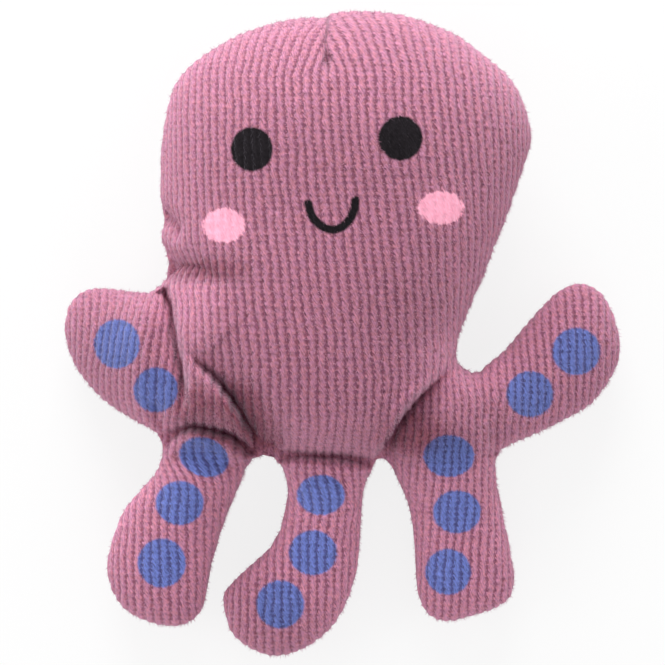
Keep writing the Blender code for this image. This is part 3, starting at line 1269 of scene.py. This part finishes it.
    def _grain(self) -> None:
        """Works out the cloth's own coordinates: across the ribs and along them."""
        points, normals, edges = self.shell.points, self.shell.normals, self.shell.edges
        vertices, faces = self.shell.corners
        back = self.shell.panels[faces] >= len(FRONT_PANELS)
        for side, take in ((Side.FRONT, ~back), (Side.BACK, back)):
            on = np.zeros(len(points), bool)
            on[vertices[take]] = True
            used = edges[on[edges[:, 0]] & on[edges[:, 1]]]
            for label, way in (("across", (1.0, 0.0, 0.0)), ("along", (0.0, 1.0, 0.0))):
                values = self._unroll(points, normals, used, on, np.array(way))
                self.shell.store(f"{side.value}_{label}", "FLOAT", "POINT", values)

    def _unroll(self, points: Array, normals: Array, edges: Array, on: Array,
                way: Array) -> Array:
        """Lays one direction of the cloth along the surface with as little stretch as can be.

        Args:
            points: the vertices.
            normals: their normals.
            edges: the edges of one side.
            on: the vertices of that side.
            way: the direction that the cloth should run in.

        Returns:
            How far along that direction of the cloth each vertex lies.
        """
        a, b = edges.T
        normal = normals[a] + normals[b]
        normal /= np.maximum(np.linalg.norm(normal, axis=1, keepdims=True), 1e-9)
        flat = way - (normal @ way)[:, None] * normal
        size = np.linalg.norm(flat, axis=1)
        wish = ((points[b] - points[a]) * flat).sum(1) / np.maximum(size, 0.2)
        pull = np.maximum(size, 0.05) ** 2
        count = len(points)

        def spread(u: Array) -> Array:
            """Applies the equations of the stretch.

            Args:
                u: how far along the cloth each vertex lies.

            Returns:
                How strongly each vertex is pulled back.
            """
            stretch = pull * (u[b] - u[a])
            moved = (np.bincount(b, stretch, minlength=count)
                     - np.bincount(a, stretch, minlength=count))
            return np.where(on, moved + 1e-7 * u, u)

        right = (np.bincount(b, pull * wish, minlength=count)
                 - np.bincount(a, pull * wish, minlength=count))
        diagonal = np.bincount(a, pull, minlength=count) + np.bincount(b, pull, minlength=count)
        start = points @ way
        right = np.where(on, right, 0.0) - spread(np.where(on, start, 0.0))
        u = conjugate_gradients(spread, right, np.maximum(diagonal, 1e-6), 500)
        return np.where(on, u + start, start)

    def _cloth(self, way: str) -> Array:
        """Reads how far each vertex lies along one way of the cloth, on its own side."""
        front, back = (self._read(f"{side.value}_{way}") for side in Side)
        return np.where(self.rise >= 0, front, back)

    def _lean(self, x: Array, y: Array) -> Array:
        """Works out how far the pinch, the folds and the sewing draw the front's ribs aside.

        Args:
            x: the places' x.
            y: the places' y.

        Returns:
            How far the ribs are drawn.
        """
        drawn = Pinch().gathers(x, y)
        for lean in LEANS:
            drawn += lean.draw(x, y)
        return drawn

    def _finish(self) -> None:
        """Adds the ribs and the seam's groove, and stores what the plush needs to know."""
        points, normals = self.shell.points, self.shell.normals
        x, y, _ = points.T
        plush, front = RibPlush(), self.rise >= 0
        along = self._cloth("along")
        across = self._cloth("across") + np.where(front, self._lean(x, y), 0.0)
        across = across + plush.stray(across, along)
        self.across, self.along, self.rest = across, along, points.copy()
        # painted light and shade: a factor on the pile's colour, above 1 paler and below 1 darker
        self.nap = 1.0 + sum(nap.tint(x, y) for nap in PAINTED_LIGHTS)
        self.inks = Prints().inks(self.rest, front)
        matted = sum(share * smooth_step(self.inks[ink]) for ink, share in MATTED.items())
        height = plush.ribs(across, along) * (1.0 - matted)
        groove = np.exp(-(self.rise / self.seam_width) ** 2)
        points += (height - self.seam_depth * groove)[:, None] * normals
        points[:, 2] = np.maximum(points[:, 2], 0.0)
        self.shell.points = points


@dataclass(frozen=True)
class RibPlush:
    """Rib plush: its ribs, and the small tufts that each rib is made of.

    Attributes:
        pitch: how far apart the ribs are, about eight to the inch.
        tuft: how long each tuft is.
        depth: how deep the grooves are.
        groove: half the width of a groove.
        wander: how far the ribs stray from straight lines.
        slow: how long the slow waves of a rib are.
        quick: how long its quick waves are, which are six tenths as wide.
        lump: how large the uneven places in the pile are.
    """

    pitch: float = 3.35
    tuft: float = 2.35
    depth: float = 0.45
    groove: float = 0.85
    wander: float = 0.40
    slow: float = 9.0
    quick: float = 3.0
    lump: float = 2.0

    def stray(self, across: Array, along: Array) -> Array:
        """Works out how far the ribs stray sideways.

        Args:
            across: how far each place lies across the ribs.
            along: how far it lies along them.

        Returns:
            How far they stray at each place.
        """
        random = np.random.default_rng(RANDOM_SEED)
        slow, quick = random_field(random, self.slow), random_field(random, self.quick)
        return self.wander * (slow.at(across, along) + 0.6 * quick.at(across, along))

    def ribs(self, across: Array, along: Array) -> Array:
        """Works out how far the pile stands out.

        Args:
            across: how far each place lies across the ribs.
            along: how far it lies along them.

        Returns:
            The pile's height.
        """
        turn = across / self.pitch
        off = np.abs(turn - np.round(turn)) * self.pitch
        random = np.random.default_rng(RANDOM_SEED + 1)
        lumps = random_field(random, self.lump).at(across, along)
        groove = np.exp(-(off / self.groove) ** 2)
        return self.depth * (0.45 - groove * (1.0 + 0.25 * lumps) + 0.20 * lumps)


@dataclass(frozen=True)
class Patch:
    """An oval print, placed as the photograph shows it.

    Attributes:
        middle: the oval's middle.
        width: how wide it is.
        height: how high it is.
        tilt: how far it is turned to the left, in degrees.
    """

    middle: Point
    width: float
    height: float
    tilt: float = 0.0

    def distance(self, x: Array, y: Array) -> Array:
        """Measures how far places lie inside the oval's edge.

        Args:
            x: the places' x.
            y: the places' y.

        Returns:
            The distance, negative outside the oval.
        """
        turn = math.radians(self.tilt)
        dx, dy = x - self.middle[0], y - self.middle[1]
        across = (dx * math.cos(turn) + dy * math.sin(turn)) / (self.width / 2)
        up = (dy * math.cos(turn) - dx * math.sin(turn)) / (self.height / 2)
        return (1.0 - np.hypot(across, up)) * (self.width + self.height) / 4


@dataclass(frozen=True)
class Prints:
    """The printed face and spots.

    Attributes:
        view: the camera that they were measured with.
        eyes: the black eyes.
        cheeks: the pink cheeks.
        mouth: the line of the mouth.
        stroke: how thick that line is.
        spots: the blue spots, from the left arm's round to the right arm's.
    """

    view: Viewpoint = Viewpoint()
    eyes: tuple[Patch, ...] = (Patch((-33.7, 68.9), 15.7, 16.4), Patch((21.6, 73.0), 16.4, 16.6))
    cheeks: tuple[Patch, ...] = (Patch((-44.1, 40.5), 16.0, 13.0), Patch((36.6, 47.1), 17.0, 12.7))
    mouth: tuple[Point, ...] = ((-12.8, 48.6), (-11.3, 44.1), (-8.5, 40.8), (-4.4, 39.0),
                                (-0.4, 39.9), (2.5, 42.6), (4.3, 46.2), (4.8, 49.9))
    stroke: float = 3.2
    spots: tuple[Patch, ...] = (
        Patch((-83.9, -3.5), 17.1, 18.2), Patch((-69.4, -20.6), 16.4, 16.7),
        Patch((-51.5, -45.6), 18.8, 14.3, -20), Patch((-60.5, -62.7), 17.9, 16.4),
        Patch((-67.2, -85.0), 17.9, 18.2), Patch((-8.0, -59.7), 17.9, 14.9),
        Patch((-11.0, -81.2), 17.9, 16.7), Patch((-23.2, -100.4), 17.9, 17.9),
        Patch((39.6, -45.2), 19.0, 15.6), Patch((42.6, -66.0), 17.9, 16.0),
        Patch((39.3, -88.3), 17.1, 17.1), Patch((69.8, -22.2), 17.5, 17.1),
        Patch((87.0, -6.3), 17.9, 17.5),
    )

    def inks(self, points: Array, front: Array) -> dict[Ink, Array]:
        """How deep each place lies inside each ink, negative outside it.

        Args:
            points: the places.
            front: whether each place is on the front panel.

        Returns:
            One value for each place, by ink.
        """
        x, y = self.view.seen(points)
        line, _, _ = distance_to_path(x, y, smooth_path(self.mouth, 6, False))
        shapes = {
            Ink.BLUE: [spot.distance(x, y) for spot in self.spots],
            Ink.PINK: [cheek.distance(x, y) for cheek in self.cheeks],
            Ink.BLACK: [self.stroke / 2 - line, *[eye.distance(x, y) for eye in self.eyes]],
        }
        return {ink: np.where(front, np.maximum(np.max(deep, 0), -5.0), -5.0)
                for ink, deep in shapes.items()}


class Nodes:
    """A material's nodes, added one at a time."""

    def __init__(self, name: str) -> None:
        """Makes the material with a surface shader.

        Args:
            name: the material's name.
        """
        self.material = bpy.data.materials.new(name)
        self.material.use_nodes = True
        self.tree = self.material.node_tree

    def add(self, kind: str, inputs: dict[int | str, object], out: int | str = 0,
            **settings: object) -> Socket:
        """Adds a node.

        Args:
            kind: the node's type, without its first words.
            inputs: values or sockets for its inputs, by place or name.
            out: the output that is wanted.
            settings: the node's own settings.

        Returns:
            The output.
        """
        node = self.tree.nodes.new(f"ShaderNode{kind}")
        for name, value in settings.items():
            setattr(node, name, value)
        self._fill(node, inputs)
        return node.outputs[out]

    def surface(self, inputs: dict[str, object]) -> bpy.types.Material:
        """Sets the surface shader.

        Args:
            inputs: values or sockets for its inputs, by name.

        Returns:
            The material.
        """
        self._fill(self.tree.nodes["Principled BSDF"], inputs)
        return self.material

    def _fill(self, node: bpy.types.Node, inputs: dict[int | str, object]) -> None:
        """Links sockets to a node's inputs and sets the others to values.

        Args:
            node: the node.
            inputs: values or sockets, by place or name.
        """
        for place, value in inputs.items():
            if isinstance(value, Socket):
                self.tree.links.new(value, node.inputs[place])
            else:
                node.inputs[place].default_value = value


@dataclass(frozen=True)
class PlushFinish:
    """Polyester rib plush, knitted and then brushed: a matt pile with a pale bloom edge-on.

    Short fibres lie aslant on the ribs and reach over the darker grooves, most of all where the
    cloth is seen from the side. The printed inks sink into the pile, so their edges are ragged.
    Real fibres are too fine to show, so they are drawn as locks of half a millimetre.

    Attributes:
        pile: the pile's colour.
        warm: its colour in the warmer clumps.
        blue: the colour of the spots.
        pink: the colour of the cheeks.
        black: the colour of the eyes and the mouth.
        groove: painted shade in the grooves, as the share of red, green and blue that is left there.
        roughness: how rough the pile is.
        gloss: how much it mirrors.
        sheen: how strong the bloom is.
        sheen_roughness: how far it spreads.
        bloom: its tint.
        lock_width: how wide a lock of fibres is.
        lock_length: how long it is.
        slant: how far it leans aside for each millimetre along the rib.
        clump: how large the clumps of locks are.
        fray: how far locks reach over the edges of a groove.
        step: how far the tufts of neighbouring ribs are out of step.
        pit: how far the pits between the tufts widen a groove.
        relief: how high the locks stand, for their shading.
    """

    pile: str = "#BA7D99"
    warm: str = "#BF7C8E"
    blue: str = "#6174B8"
    pink: str = "#FFB4CC"
    black: str = "#120D10"
    groove: tuple[float, float, float] = (0.50, 0.40, 0.45)
    roughness: float = 0.92
    gloss: float = 0.1
    sheen: float = 0.46
    sheen_roughness: float = 0.45
    bloom: tuple[float, float, float] = (0.94, 0.84, 1.0)
    lock_width: float = 1 / 2.1
    lock_length: float = 2.0
    slant: float = 0.45
    clump: float = 4 / 3
    fray: float = 2.2
    step: float = 3.0
    pit: float = 0.24
    relief: float = 0.4

    def material(self) -> bpy.types.Material:
        """Makes the material, which reads what the panels store with their vertices.

        Returns:
            The material.
        """
        nodes = Nodes("ribbed_polyester_plush")
        add = nodes.add
        cloth = add("Attribute", {}, "Vector", attribute_name="cloth")
        across = add("SeparateXYZ", {0: cloth}, "X")
        along = add("SeparateXYZ", {0: cloth}, "Y")
        leaning = add("Math", {0: along, 1: self.slant, 2: across}, operation="MULTIPLY_ADD")
        lock_at = add("CombineXYZ", {"X": leaning, "Y": along})
        shape = (1 / self.lock_width, 1 / self.lock_length, 1.0)
        lock_at = add("VectorMath", {0: lock_at, 1: shape}, operation="MULTIPLY")
        lock = add("TexNoise", {"Vector": lock_at, "Scale": 1.0, "Detail": 2.0, "Roughness": 0.6})
        rest = add("Attribute", {}, "Vector", attribute_name="rest")
        clump = add("TexNoise", {"Vector": rest, "Scale": 1 / self.clump, "Detail": 2.0})
        nap = add("Attribute", {}, "Fac", attribute_name="nap")
        pink = add("Attribute", {}, "Fac", attribute_name=Ink.PINK.value)
        sunk = self._grooves(nodes, (across, along), lock, clump, pink)
        colour = self._dye(nodes, lock, clump, nap)
        # painted shade: the grooves between the ribs are darkened, on top of the shade that their
        # depth gives
        shade = add("Mix", {0: sunk, 6: (1, 1, 1, 1), 7: (*self.groove, 1.0)}, 2,
                    data_type="RGBA")
        shaded = add("VectorMath", {0: colour, 1: shade}, operation="MULTIPLY")

        # some locks are paler than others, which shows less where the pink ink holds them
        streak = add("MapRange", {"Value": lock, "From Min": 0.3, "From Max": 0.7,
                                  "To Min": 0.58, "To Max": 1.34})
        calm = add("MapRange", {"Value": pink, "To Max": 0.6})
        streak = add("Mix", {0: calm, 2: streak, 3: 1.0}, 0)
        # the painted light and shade scale the pile's colour, together with the locks' streaks
        tone = add("Math", {0: streak, 1: nap}, operation="MULTIPLY")
        height = add("Math", {0: sunk, 1: -0.5, 2: lock}, operation="MULTIPLY_ADD")
        return nodes.surface({
            "Base Color": add("VectorMath", {0: shaded, "Scale": tone}, operation="SCALE"),
            "Roughness": self.roughness,
            "Specular IOR Level": self.gloss,
            "Sheen Weight": self.sheen,
            "Sheen Roughness": self.sheen_roughness,
            "Sheen Tint": (*self.bloom, 1.0),
            "Normal": add("Bump", {"Height": height, "Distance": self.relief * MM,
                                   "Strength": 1.0}, "Normal"),
        })

    def _grooves(self, nodes: Nodes, cloth: tuple[Socket, Socket], lock: Socket, clump: Socket,
                 pink: Socket) -> Socket:
        """Adds the nodes that find the grooves between the ribs.

        Args:
            nodes: the material's nodes.
            cloth: how far a place lies across and along the cloth.
            lock: the locks of fibres.
            clump: the clumps that they lie in.
            pink: how deep a place lies in the pink ink.

        Returns:
            How deep a place lies in a groove, from 0 to 1.
        """
        add, plush = nodes.add, RibPlush()
        across, along = cloth
        opened = add("Attribute", {}, "Fac", attribute_name="open")

        # locks reach over the edges of the ribs, and every tuft has a pit beside it
        centred = add("Math", {0: across, 1: -self.fray / 2}, operation="ADD")
        frayed = add("Math", {0: lock, 1: self.fray, 2: centred}, operation="MULTIPLY_ADD")
        turn = add("Math", {0: frayed, 1: math.pi / plush.pitch}, operation="MULTIPLY")
        rib = add("Math", {0: add("Math", {0: turn}, operation="SINE")}, operation="ABSOLUTE")
        drifting = add("Math", {0: clump, 1: self.step, 2: along}, operation="MULTIPLY_ADD")
        beat = add("Math", {0: drifting, 1: 2 * math.pi / plush.tuft}, operation="MULTIPLY")
        hidden = add("MapRange", {"Value": clump, "From Min": 0.35, "From Max": 0.65,
                                  "To Min": -0.10, "To Max": 0.10})
        worn = add("Math", {0: rib, 1: hidden}, operation="ADD")
        pitted = add("Math", {0: add("Math", {0: beat}, operation="COSINE"), 1: self.pit,
                              2: worn}, operation="MULTIPLY_ADD")

        # grooves close where the cloth turns away from above, and look shallower there
        width = add("MapRange", {"Value": opened, "From Min": 0.45, "From Max": 0.95,
                                 "To Min": 0.20, "To Max": 0.48})
        inside = add("Math", {0: width, 1: pitted}, operation="SUBTRACT")
        groove = add("MapRange", {"Value": inside, "From Min": -0.25, "From Max": 0.20},
                     interpolation_type="SMOOTHSTEP")
        depth = add("MapRange", {"Value": opened, "From Min": 0.45, "From Max": 0.95,
                                 "To Min": 0.55, "To Max": 0.95})
        sunk = add("Math", {0: groove, 1: depth}, operation="MULTIPLY")

        # the thick ink of cheeks, eyes and mouth fills most of the grooves
        black = add("Attribute", {}, "Fac", attribute_name=Ink.BLACK.value)
        thick = add("Math", {0: add("Math", {0: black, 1: 0.65}, operation="MINIMUM"), 1: pink},
                    operation="MAXIMUM")
        filled = add("MapRange", {"Value": thick, "To Min": 1.0, "To Max": 0.2})
        return add("Math", {0: sunk, 1: filled}, operation="MULTIPLY")

    def _dye(self, nodes: Nodes, lock: Socket, clump: Socket, nap: Socket) -> Socket:
        """Adds the nodes that dye and print the pile, and make its painted shade redder.

        Args:
            nodes: the material's nodes.
            lock: the locks of fibres.
            clump: the clumps that they lie in.
            nap: the painted light and shade, as a factor on the pile's colour.

        Returns:
            The pile's colour.
        """
        add = nodes.add
        warmth = add("MapRange", {"Value": clump, "From Min": 0.4, "From Max": 0.62})
        colour = add("Mix", {0: warmth, 6: linear(self.pile), 7: linear(self.warm)}, 2,
                     data_type="RGBA")
        for ink, dye, share in ((Ink.BLUE, self.blue, 0.96), (Ink.PINK, self.pink, 0.97),
                                (Ink.BLACK, self.black, 1.0)):
            deep = add("Attribute", {}, "Fac", attribute_name=ink.value)
            ragged = add("Math", {0: lock, 1: 1.6, 2: deep}, operation="MULTIPLY_ADD")
            edge = add("MapRange", {"Value": ragged, "From Min": 0.40, "From Max": 1.20,
                                    "To Max": share})
            colour = add("Mix", {0: edge, 6: colour, 7: linear(dye)}, 2, data_type="RGBA")

        # painted shade: where the pile is painted darker, it is painted redder as well
        painted_shade_red = add("MapRange", {"Value": nap, "From Min": 0.5, "From Max": 0.9, "To Min": 0.70,
                                  "To Max": 1.0})
        less = add("CombineXYZ", {"X": 1.0, "Y": painted_shade_red, "Z": painted_shade_red})
        return add("VectorMath", {0: colour, 1: less}, operation="MULTIPLY")


@dataclass(frozen=True)
class FibreFinish:
    """Single polyester fibres: matt, and paler than the pile because light comes through them.

    Attributes:
        pile: the colour of the pile's fibres.
        blue: the colour of those in the spots.
        pink: the colour of those in the cheeks.
        black: the colour of those in the eyes and the mouth.
        shaded: painted shade, a darker colour for those where the pile is painted darkest, as deep in
            a fold.
        roughness: how rough they are.
        gloss: how much they mirror.
    """

    pile: str = "#C995AC"
    blue: str = "#7787C4"
    pink: str = "#FFB4CC"
    black: str = "#120D10"
    shaded: str = "#7E4560"
    roughness: float = 0.92
    gloss: float = 0.1

    def materials(self) -> list[bpy.types.Material]:
        """Makes one material for each kind of fibre.

        Returns:
            The materials, in the order of the kinds.
        """
        colours = (self.pile, self.blue, self.pink, self.black, self.shaded)
        return [Nodes(f"{kind.name.lower()}_fibre").surface({
            "Base Color": linear(colour), "Roughness": self.roughness,
            "Specular IOR Level": self.gloss}) for kind, colour in zip(Fibre, colours)]


@dataclass(frozen=True)
class Fuzz:
    """Loose fibres that stand off the pile, each a narrow blade.

    Attributes:
        crowd: how many grow on a square millimetre.
        length: how long the longest are.
        shortest: how long the shortest are, as a share of that.
        width: how wide one is at its root, which is wider than a real one so that it shows.
        lie: the way in which they are brushed.
        mess: how much their directions differ.
        lift: how steeply they stand off the cloth at least.
        root: how deep in the pile they begin.
    """

    crowd: float = 0.90
    length: float = 1.9
    shortest: float = 0.4
    width: float = 0.28
    lie: tuple[float, float, float] = (0.4, -1.0, 0.0)
    mess: float = 0.6
    lift: float = 0.35
    root: float = 0.2

    def grow(self, points: Array, normals: Array, quads: Array,
             random: np.random.Generator) -> tuple[Array, Array]:
        """Grows fibres on the faces of one panel.

        Args:
            points: the cover's vertices.
            normals: their normals.
            quads: the panel's faces.
            random: the source of the fibres' places and directions.

        Returns:
            The fibres' points, three for each, and the vertex that each grows at.
        """
        a, b, c, d = (points[quads[:, i]] for i in range(4))
        area = 0.5 * np.linalg.norm(np.cross(c - a, d - b), axis=1)
        roots = quads[random.random(len(quads)) < self.crowd * area, 0]
        count, normal = len(roots), normals[roots]
        way = normal + np.array(self.lie) + self.mess * random.normal(size=(count, 3))
        out = (way * normal).sum(1, keepdims=True)
        way += np.maximum(self.lift - out, 0.0) * normal
        way /= np.linalg.norm(way, axis=1, keepdims=True)
        across = np.cross(way, random.normal(size=(count, 3)))
        across *= 0.5 * self.width / np.linalg.norm(across, axis=1, keepdims=True)
        foot = points[roots] - self.root * normal
        tip = foot + self.length * random.uniform(self.shortest, 1.0, (count, 1)) * way
        blades = np.stack([foot - across, foot + across, tip], 1).reshape(-1, 3)
        blades[:, 2] = np.maximum(blades[:, 2], 0.0)
        return blades, roots


@dataclass
class Panels:
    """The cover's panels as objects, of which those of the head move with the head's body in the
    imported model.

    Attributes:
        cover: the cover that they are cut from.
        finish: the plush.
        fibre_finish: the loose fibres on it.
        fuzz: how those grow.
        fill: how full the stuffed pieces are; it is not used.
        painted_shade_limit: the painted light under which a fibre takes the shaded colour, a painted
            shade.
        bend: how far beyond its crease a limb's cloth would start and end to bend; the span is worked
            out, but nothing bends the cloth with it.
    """

    cover: Cover
    finish: PlushFinish = PlushFinish()
    fibre_finish: FibreFinish = FibreFinish()
    fuzz: Fuzz = Fuzz()
    fill: float = 0.8
    painted_shade_limit: float = 0.80
    bend: tuple[float, float] = (1.0, 18.0)

    def build(self) -> None:
        """Divides the cover into panels, and grows the fibres on each."""
        points, normals = self.cover.shell.points, self.cover.shell.normals
        quads = self.cover.shell.corners[0].reshape(-1, 4)
        owners, kinds = self.cover.shell.panels, self._kinds()
        plush, fibres = self.finish.material(), self.fibre_finish.materials()
        random = np.random.default_rng(RANDOM_SEED + 2)
        for index, name in enumerate(PANELS):
            chosen = quads[owners == index]
            used, local = np.unique(chosen, return_inverse=True)
            panel = self._mesh(f"plush_{name}", points[used], local.reshape(-1, 4), [plush])
            self._store(panel, used)
            panel.shade_smooth()
            panel.normals_split_custom_set_from_vertices(normals[used].tolist())
            made = self._attach(panel, name)
            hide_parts(*self._stands_for(name))
            blades, roots = self.fuzz.grow(points, normals, chosen, random)
            corners = np.arange(len(blades)).reshape(-1, 3)
            fuzz = self._mesh(f"fibres_{name}", blades, corners, fibres)
            fuzz.polygons.foreach_set("material_index", kinds[roots])
            self._attach(fuzz, name)

    def _kinds(self) -> Array:
        """Finds the kind of fibre that grows at each vertex.

        Returns:
            The kinds' numbers.
        """
        inks, nap = self.cover.inks, self.cover.nap
        kinds = np.argmax([np.zeros(len(nap)), *(inks[ink] for ink in Ink)], 0)
        # fibres where the pile is painted darkest get the painted-shade colour
        kinds[(kinds == Fibre.PILE.value) & (nap < self.painted_shade_limit)] = Fibre.SHADED.value
        return kinds.astype(np.int32)

    def _mesh(self, name: str, points: Array, faces: Array,
              materials: Sequence[bpy.types.Material]) -> bpy.types.Mesh:
        """Makes a mesh in metres.

        Args:
            name: the mesh's name.
            points: its vertices in millimetres.
            faces: the vertices of each face.
            materials: its materials.

        Returns:
            The mesh.
        """
        mesh = bpy.data.meshes.new(name)
        mesh.from_pydata((points * MM).tolist(), [], faces.tolist())
        for material in materials:
            mesh.materials.append(material)
        return mesh

    def _store(self, mesh: bpy.types.Mesh, used: Array) -> None:
        """Stores what the plush needs to know with a panel's vertices.

        Args:
            mesh: the panel.
            used: the places of its vertices among those of the cover.
        """
        cover = self.cover
        cloth = np.stack([cover.across, cover.along, cover.rise], 1)
        stored = {"cloth": cloth, "rest": cover.rest, "open": cover.open, "nap": cover.nap}
        stored.update({ink.value: deep for ink, deep in cover.inks.items()})
        for name, values in stored.items():
            kind, key = ("FLOAT", "value") if values.ndim == 1 else ("FLOAT_VECTOR", "vector")
            attribute = mesh.attributes.new(name, kind, "POINT")
            attribute.data.foreach_set(key, values[used].astype(np.float32).ravel())

    def _stands_for(self, name: str) -> list[str]:
        """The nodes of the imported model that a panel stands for."""
        return [name, f"{self._body(name)}_filling"] if name in FRONT_PANELS else [name]

    def _body(self, name: str) -> str:
        """The body that a panel belongs to."""
        return name.rsplit("_", 2)[0]

    def _attach(self, mesh: bpy.types.Mesh, name: str) -> bpy.types.Object:
        """Makes an object of a mesh, which moves with the head's body if it is a head panel and stays
        where it lies otherwise.

        Args:
            mesh: the mesh.
            name: the panel's name.

        Returns:
            The object, named as the mesh.
        """
        made = bpy.data.objects.new(mesh.name, mesh)
        bpy.context.scene.collection.objects.link(made)
        body = self._body(name)
        if body == "head":
            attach(made, body)
        else:
            limb = next(limb for limb in LIMBS if limb.name == body)
            start, end = (Vector(limb.root) + far * Vector((*limb.outward, 0.0))
                          for far in self.bend)
            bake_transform(made)
        log.info("%s: %d faces, on %s", made.name, len(mesh.polygons), body)
        return made


@dataclass(frozen=True)
class PaperFinish:
    """Matt paper: it shows as even white, and keeps the toy's soft shadow.

    Attributes:
        seen: its colour to the camera, in mirrors and through glass.
        lit: its colour to the light that it throws back at the toy.
        glow: how strongly it glows where it is seen.
    """

    seen: str = "#6E6E6E"
    lit: str = "#F0F0F0"
    glow: float = 0.82

    def material(self) -> bpy.types.Material:
        """Makes the material.

        Returns:
            The material.
        """
        nodes = Nodes("white_paper")
        seen = nodes.add("LightPath", {}, "Is Camera Ray")
        for kind in ("Is Glossy Ray", "Is Transmission Ray"):
            other = nodes.add("LightPath", {}, kind)
            seen = nodes.add("Math", {0: seen, 1: other}, operation="MAXIMUM")
        return nodes.surface({
            "Base Color": nodes.add("Mix", {0: seen, 6: linear(self.lit), 7: linear(self.seen)},
                                    2, data_type="RGBA"),
            "Roughness": 1.0,
            "Specular IOR Level": 0.0,
            "Emission Color": (1.0, 1.0, 1.0, 1.0),
            "Emission Strength": nodes.add("Math", {0: seen, 1: self.glow},
                                           operation="MULTIPLY"),
        })


@dataclass(frozen=True)
class Lamp:
    """A square soft lamp that faces the toy.

    Attributes:
        name: the lamp's name.
        place: where it hangs, in metres.
        power: its power in watts.
        size: how long its sides are, in metres.
    """

    name: str
    place: tuple[float, float, float]
    power: float
    size: float = 0.7

    def hang(self) -> None:
        """Adds the lamp to the scene."""
        data = bpy.data.lights.new(self.name, "AREA")
        data.size, data.energy = self.size, self.power
        lamp = bpy.data.objects.new(self.name, data)
        lamp.location = self.place
        lamp.rotation_euler = (-Vector(self.place)).to_track_quat("-Z", "Y").to_euler()
        bpy.context.scene.collection.objects.link(lamp)


@dataclass
class Studio:
    """The white table, the soft lamps and the camera of the photograph.

    Attributes:
        view: where the camera stands.
        paper: the paper on the table.
        lamps: the lamps, of which the key lamp hangs beyond the crown.
        room_light: how bright the room is.
        table: how wide the table is, in metres.
        gap: how far it lies below the toy, in metres.
    """

    view: Viewpoint = Viewpoint()
    paper: PaperFinish = PaperFinish()
    lamps: tuple[Lamp, ...] = (Lamp("key_lamp", (-0.12, 1.05, 0.42), 15.4),
                               Lamp("left_lamp", (-1.05, 0.0, 0.38), 4.0),
                               Lamp("right_lamp", (1.05, 0.0, 0.38), 2.0),
                               Lamp("foot_lamp", (0.0, -1.05, 0.38), 2.6))
    room_light: float = 0.58
    table: float = 8.0
    gap: float = 0.0005

    def build(self) -> None:
        """Makes the table, the lamps, the room's light and the camera."""
        bpy.ops.mesh.primitive_plane_add(size=self.table, location=(0, 0, -self.gap))
        floor = bpy.context.object
        floor.name = "floor"
        floor.data.materials.append(self.paper.material())
        for lamp in self.lamps:
            lamp.hang()
        world = bpy.data.worlds.new("room")
        world.use_nodes = True
        world.node_tree.nodes["Background"].inputs["Color"].default_value = (1, 1, 1, 1)
        world.node_tree.nodes["Background"].inputs["Strength"].default_value = self.room_light
        bpy.context.scene.world = world
        bpy.context.scene.view_settings.view_transform = "Standard"
        self._camera()
        log.info("studio: %d lamps", len(self.lamps))

    def _camera(self) -> None:
        """Hangs the camera over the toy."""
        data = bpy.data.cameras.new("camera")
        data.lens, data.sensor_width = self.view.lens, self.view.sensor
        camera = bpy.data.objects.new("camera", data)
        height = self.view.level + self.view.distance
        camera.location = Vector((self.view.x, self.view.y, height)) * MM
        bpy.context.scene.collection.objects.link(camera)
        bpy.context.scene.camera = camera


def main() -> None:
    """Builds the toy and its studio."""
    logging.basicConfig(level=logging.INFO)
    cover = Cover(Pouch(), subdivisions=2)
    cover.build()
    Panels(cover).build()
    Studio().build()
    bpy.context.view_layer.update()


if __name__ == "__main__":
    main()
